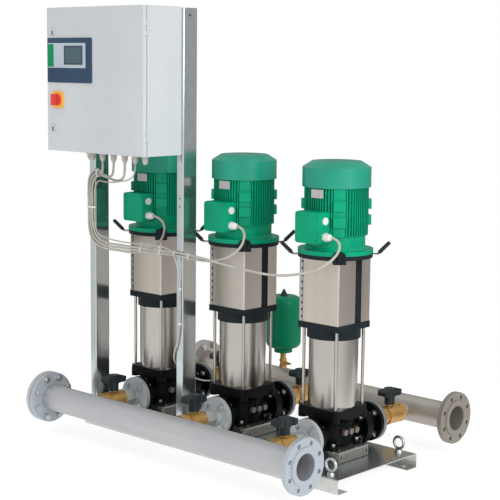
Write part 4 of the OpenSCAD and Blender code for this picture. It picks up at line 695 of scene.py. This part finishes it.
def ring_faces(rings, around, closed):
    """Quads between neighbouring rings. A closed stack joins last to first, an open one gets
    end faces."""
    k = np.arange(around)
    n = (k + 1) % around
    i = np.arange(rings if closed else rings - 1)[:, None]
    j = (i + 1) % rings
    quads = np.stack([i * around + k, i * around + n, j * around + n, j * around + k], axis=-1)
    ends = [] if closed else [k[::-1].tolist(), (k + (rings - 1) * around).tolist()]
    return quads.reshape(-1, 4).tolist() + ends


def turn_to(axis, across, up, depth):
    """Points from two coordinates across an axis and one along it."""
    columns = {"X": (depth, across, up), "Y": (across, depth, up), "Z": (across, up, depth)}[axis]
    return np.stack(columns, axis=-1).reshape(-1, 3)


print("points round a plate:", len(round_outline(60, 34, 3)))

# %% Plates, bands and heads


def plate(centre, axis, size, radius, layers, closed=False):
    """An outline with round corners through layers of (inset, depth). Closed layers make a band."""
    flat = np.stack([round_outline(size[0] - 2 * inset, size[1] - 2 * inset,
                                   max(radius - inset, 0.3)) for inset, _ in layers])
    depth = np.repeat(np.array([d for _, d in layers], float)[:, None], flat.shape[1], axis=1)
    points = turn_to(axis, flat[..., 0], flat[..., 1], depth) + np.asarray(centre, float)
    return points, ring_faces(len(layers), flat.shape[1], closed)


def head(centre, axis, profile, around=20):
    """A profile of (radius, depth) turned about an axis: (r cos a, r sin a, depth)."""
    a = np.linspace(0, 2 * np.pi, around, endpoint=False)
    r, d = np.array(profile, float).T
    points = turn_to(axis, np.outer(r, np.cos(a)), np.outer(r, np.sin(a)),
                     np.outer(d, np.ones(around)))
    return points + np.asarray(centre, float), ring_faces(len(profile), around, False)


print("faces of a flat disc:", len(head((0, 0, 0), "Y", [(2, 0), (2, -1)])[1]))

# %% [markdown]
# Several shapes may share one piece, such as all the screws of a lid. Joining objects
# would do, but it is simpler to put the points in one list and shift the faces to
# match. The faces are then turned outwards together.

# %% Pieces from shapes


def skin(name, shapes, made, body):
    """One mesh piece from shapes in millimetres about the middle pump, which rides on a body."""
    starts = np.cumsum([0] + [len(points) for points, _ in shapes])
    faces = [[index + start for index in face]
             for (_, part), start in zip(shapes, starts) for face in part]
    data = bpy.data.meshes.new(name)
    data.from_pydata(place(np.concatenate([points for points, _ in shapes])).tolist(), [], faces)
    shape = bmesh.new()
    shape.from_mesh(data)
    bmesh.ops.recalc_face_normals(shape, faces=shape.faces)
    shape.to_mesh(data)
    shape.free()
    data.materials.append(made)
    piece = bpy.data.objects.new(name, data)
    bpy.context.scene.collection.objects.link(piece)
    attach(piece, body)
    print(name, "has", len(data.polygons), "faces")
    return piece


# %% [markdown]
# The operating panel sits on the door: a dark blue moulding, a pale film set into it
# with a green end strip, and a screen sunk into a dark frame. All are bare. Each could
# be a colour on one block, but real layers give their edges a line of light and shade.

# %% Moulding, film and strip of the operating panel
DOOR_Y = corners("cabinet_door")[0][1]
panel_low, panel_high = corners("control_panel")
PANEL_X, PANEL_Z = (panel_low[0] + panel_high[0]) / 2, (panel_low[2] + panel_high[2]) / 2
PANEL_W, PANEL_H = panel_high[0] - panel_low[0], panel_high[2] - panel_low[2]
FIELD_W, FIELD_H, FIELD_IN, FIELD_UP = 246.0, 103.0, 4, 20
FIELD_X, FIELD_Z = PANEL_X - PANEL_W / 2 + FIELD_W / 2 + FIELD_IN, PANEL_Z + FIELD_UP
STRIP_W, STRIP_H = 40.0, FIELD_H - 8
FRONT = DOOR_Y - 5
FIELD_FRONT = FRONT - 0.8

fascia = skin("panel_fascia", [plate((PANEL_X, 0, PANEL_Z), "Y", (PANEL_W, PANEL_H), 7,
                                     [(0, DOOR_Y), (0, DOOR_Y - 3.4), (0.5, DOOR_Y - 4.4),
                                      (1.6, FRONT)])],
              blue_plastic, "door")
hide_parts("control_panel")
skin("panel_field", [plate((FIELD_X, 0, FIELD_Z), "Y", (FIELD_W, FIELD_H), 3,
                           [(0, FRONT), (0, FRONT - 0.5), (0.4, FIELD_FRONT)])],
     field_film, "door")
skin("panel_green_strip", [plate((FIELD_X - FIELD_W / 2 + STRIP_W / 2, 0, FIELD_Z), "Y",
                                 (STRIP_W, STRIP_H), 1.5,
                                 [(0, FIELD_FRONT), (0, FRONT - 1.1), (0.3, FRONT - 1.3)])],
     strip_film, "door")
print("panel", round(PANEL_W), "x", round(PANEL_H), "mm on the door")

# %% [markdown]
# The screen is a window sunk into its frame. It could be a dark colour on the film, but
# a real step down from the rim gives it a thin shadow along the top.

# %% Screen of the operating panel
SCREEN_X, SCREEN_Z = FIELD_X + 46, FIELD_Z + 1
SCREEN_W, SCREEN_H, SCREEN_RIM = 106, 66, 6
RIM_FRONT, SUNK = FRONT - 3.2, FRONT - 1.4
skin("panel_screen_frame", [plate((SCREEN_X, 0, SCREEN_Z), "Y",
                                  (SCREEN_W + 2 * SCREEN_RIM, SCREEN_H + 2 * SCREEN_RIM), 3,
                                  [(0, FIELD_FRONT), (0, FRONT - 2.6), (0.6, RIM_FRONT),
                                   (3.6, RIM_FRONT), (SCREEN_RIM, SUNK)])],
     frame_nylon, "door")
skin("panel_screen", [plate((SCREEN_X, 0, SCREEN_Z), "Y", (SCREEN_W, SCREEN_H), 1,
                            [(0, SUNK), (0, FRONT - 1.5), (0.3, FRONT - 1.7)])],
     screen_glass, "door")
print("screen sunk", round(SUNK - RIM_FRONT, 1), "mm behind its rim")

# %% [markdown]
# A bare rating plate is riveted to the fins above each terminal box. A patch of colour
# could hint at it, but it stands clear of the gaps between the fins, so it is a thin
# plate with four turned rivet heads.

# %% Rating plates
# Bare aluminium plate: pale and satin, brushed along its length.
plate_metal = finish("aluminium_plate_bare", "#c3bfbe", "#b1adac", roughness=0.4, spread=0.06,
                     grain_mm=1.0, metallic=0.6, stretch=(0.05, 1, 1), bump=0.004)
FIN_REACH = 127.5
PLATE_X, PLATE_Z, PLATE_W, PLATE_H = 8.0, 1128.0, 60.0, 34.0
PLATE_FRONT, RIVET_IN = -FIN_REACH - 1.2, 5
RIVET = [(2.0, 0), (2.0, -0.4), (1.5, -1.0), (0.7, -1.3)]
CORNERS = [(x, z) for x in (-1, 1) for z in (-1, 1)]


def rating_plate(n):
    """A thin plate with round corners on the fins of motor n, and a rivet head at each corner."""
    middle = PUMP_X[n] + PLATE_X
    sheet = plate((middle, 0, PLATE_Z), "Y", (PLATE_W, PLATE_H), 3,
                  [(0, -FIN_REACH + 1), (0, -FIN_REACH - 0.8), (0.4, PLATE_FRONT)])
    return [sheet] + [head((middle + x * (PLATE_W / 2 - RIVET_IN), PLATE_FRONT,
                            PLATE_Z + z * (PLATE_H / 2 - RIVET_IN)), "Y", RIVET)
                      for x, z in CORNERS]


print("rating plate", PLATE_W, "x", PLATE_H, "mm")

# %% [markdown]
# Four button screws hold the lid of each terminal box, painted over with it. A bump in
# the material could hint at them, but turned profiles with a socket also catch the
# light from the side.

# %% Lid screws, and both kinds of piece on each motor
SCREW = [(4.5, 0.5), (4.5, -1.2), (4.0, -2.3), (2.6, -3.0), (2.3, -3.0), (2.2, -1.4)]
SCREW_IN = 12
lid_low, lid_high = corners("motor_terminal_boxes")
LID_Y, LID_Z = lid_low[1], (lid_low[2] + lid_high[2]) / 2
SCREW_OUT = (lid_high[2] - lid_low[2]) / 2 - SCREW_IN
for n in PUMPS:
    skin(f"motor_{n}_rating_plate", rating_plate(n), plate_metal, "set")
    skin(f"motor_{n}_lid_screws",
         [head((PUMP_X[n] + x * SCREW_OUT, LID_Y, LID_Z + z * SCREW_OUT), "Y", SCREW)
          for x, z in CORNERS], green, "set")
print("lid screws", round(2 * SCREW_OUT), "mm apart")

# %% [markdown]
# White ties hold the cables together and white clips hold them to the posts. A tie is
# a flat band that goes once round the bundle. It could be a curve with a flat bevel,
# but a closed stack of rings gives it a true thickness and soft edges, and its small
# locking block is a plate like the others.

# %% Ties and clips
TIE_T, TIE_EDGE = 1.4, 0.6
BLOCK_SIZE, BLOCK_LAYERS = (6, 6), [(0, 0), (0, -3.2), (0.6, -3.8)]


def tie(name, centre, axis, inside, width, block=True):
    """A band round an oval of the inside size across the axis, with a locking block facing -Y."""
    w, t = width / 2, TIE_T
    reach = np.array(inside, float)
    layers = [(0, -w), (-0.7 * t, -w), (-t, -w + TIE_EDGE), (-t, w - TIE_EDGE), (-0.7 * t, w),
              (0, w)]
    shapes = [plate(centre, axis, reach, min(inside) / 2, layers, closed=True)]
    if block:
        out = reach[0] / 2 if axis == "X" else reach[1] / 2
        lock = np.array(centre, float) - [0, out, 0]
        shapes.append(plate(lock, "Y", BLOCK_SIZE, 1, BLOCK_LAYERS))
    return skin(name, shapes, white_nylon, "set")


BUNDLE_TIES = ((-353, 834.5), (-235, 835), (-145, 837.5), (-62, 835.5))
SENSOR_TIES = ((-353, -260, 859.8), (-235, -262.6, 856.8))
POST_CLIPS = (693, 545)
for k, (x, z) in enumerate(BUNDLE_TIES, 1):
    tie(f"bundle_tie_{k}", (x, LAY_Y, z), "X", (11.5, 25), 5)
for k, spot in enumerate(SENSOR_TIES, 1):
    tie(f"sensor_tie_{k}", spot, "X", (7.5, 7.5), 4, block=False)
tie("swing_strap", (-625, -266, 1147), "X", (17, 34), 9)
tie("trunk_clip", (-676.5, -261.5, 993), "Z", (49, 14), 10)
for k, z in enumerate(POST_CLIPS, 1):
    tie(f"post_clip_{k}", (-118, -258.7, z), "Z", (10, 8), 9, block=False)

# %% [markdown]
# The floor is a plain white sheet. A white paint alone would turn grey in the shade of
# the set, so the sheet is lit from below, and shadows on it stay faint.

# %% Floor
FLOOR_HALF, FLOOR_GLOW = 1.7, 0.70
floor_data = bpy.data.meshes.new("floor")
floor_data.from_pydata([(x * FLOOR_HALF, y * FLOOR_HALF, 0)
                        for x, y in ((-1, -1), (1, -1), (1, 1), (-1, 1))], [], [(0, 1, 2, 3)])
floor = bpy.data.objects.new("floor", floor_data)
bpy.context.scene.collection.objects.link(floor)
# Milky acrylic over lamps: white, with only faint shadows.
table = finish("acrylic_sheet_lit_from_below", "#b9b9b9", "#b6b6b6", roughness=0.8, spread=0.02,
               grain_mm=8.0, specular=0.1)
table_light = table.node_tree.nodes["Principled BSDF"].inputs
table_light["Emission Color"].default_value = (1, 1, 1, 1)
table_light["Emission Strength"].default_value = FLOOR_GLOW
floor_data.materials.append(table)
print("floor", 2 * FLOOR_HALF, "m wide")

# %% [markdown]
# The light is soft. Lamps alone could do it, but they would leave hard lights on the
# stainless steel, so most of it is a wide sky. It is brighter in front of the set than
# behind it, which gives the polished barrels their darker edges: the light from a
# direction is a level plus the dot product of that direction and a lean. The lens sees
# the sky as plain white.

# %% Sky
SKY_LEVEL, SKY_LEAN = 0.70, (0.12, -0.42, 0.28)
world = bpy.data.worlds.new("studio")
bpy.context.scene.world = world
world.use_nodes = True
sky = world.node_tree
direction = add(sky, "ShaderNodeTexCoord").outputs["Generated"]
lean = add(sky, "ShaderNodeVectorMath", {"operation": "DOT_PRODUCT"}, {0: direction, 1: SKY_LEAN})
glow = add(sky, "ShaderNodeMath", {"operation": "ADD", "use_clamp": True},
           {0: lean.outputs["Value"], 1: SKY_LEVEL})
soft = add(sky, "ShaderNodeBackground", None,
           {"Color": (1, 1, 1, 1), "Strength": glow.outputs["Value"]})
plain = add(sky, "ShaderNodeBackground", None, {"Color": (1, 1, 1, 1), "Strength": 1.0})
seen = add(sky, "ShaderNodeLightPath").outputs["Is Camera Ray"]
both = add(sky, "ShaderNodeMixShader", None, {0: seen, 1: soft.outputs[0], 2: plain.outputs[0]})
sky.links.new(both.outputs[0], sky.nodes["World Output"].inputs["Surface"])
print("sky behind", round(SKY_LEVEL + SKY_LEAN[1], 2), "of full, in front clamped to full")

# %% [markdown]
# One large lamp from the right lifts the cabinet's side and the right of each pump. A
# sun would do that too, but a wide soft box nearby leaves no sharp shadow.

# %% Lamp
KEY_PLACE, KEY_AIM, KEY_SIZE, KEY_WATTS = (5.0, -1.0, 2.5), (0, 0, 0.8), 2.5, 124
key_data = bpy.data.lights.new("key", "AREA")
key_data.size, key_data.energy = KEY_SIZE, KEY_WATTS
key = bpy.data.objects.new("key", key_data)
back = np.array(KEY_PLACE, float) - np.array(KEY_AIM, float)
back /= np.linalg.norm(back)
side = np.cross((0, 0, 1), back)
side /= np.linalg.norm(side)
turn = Matrix.Identity(4)
for row in range(3):
    turn[row][:3] = side[row], np.cross(back, side)[row], back[row]
turn.translation = KEY_PLACE
key.matrix_world = turn
bpy.context.scene.collection.objects.link(key)
bpy.context.scene.view_settings.view_transform = "Standard"
print("soft box of", KEY_SIZE, "m")
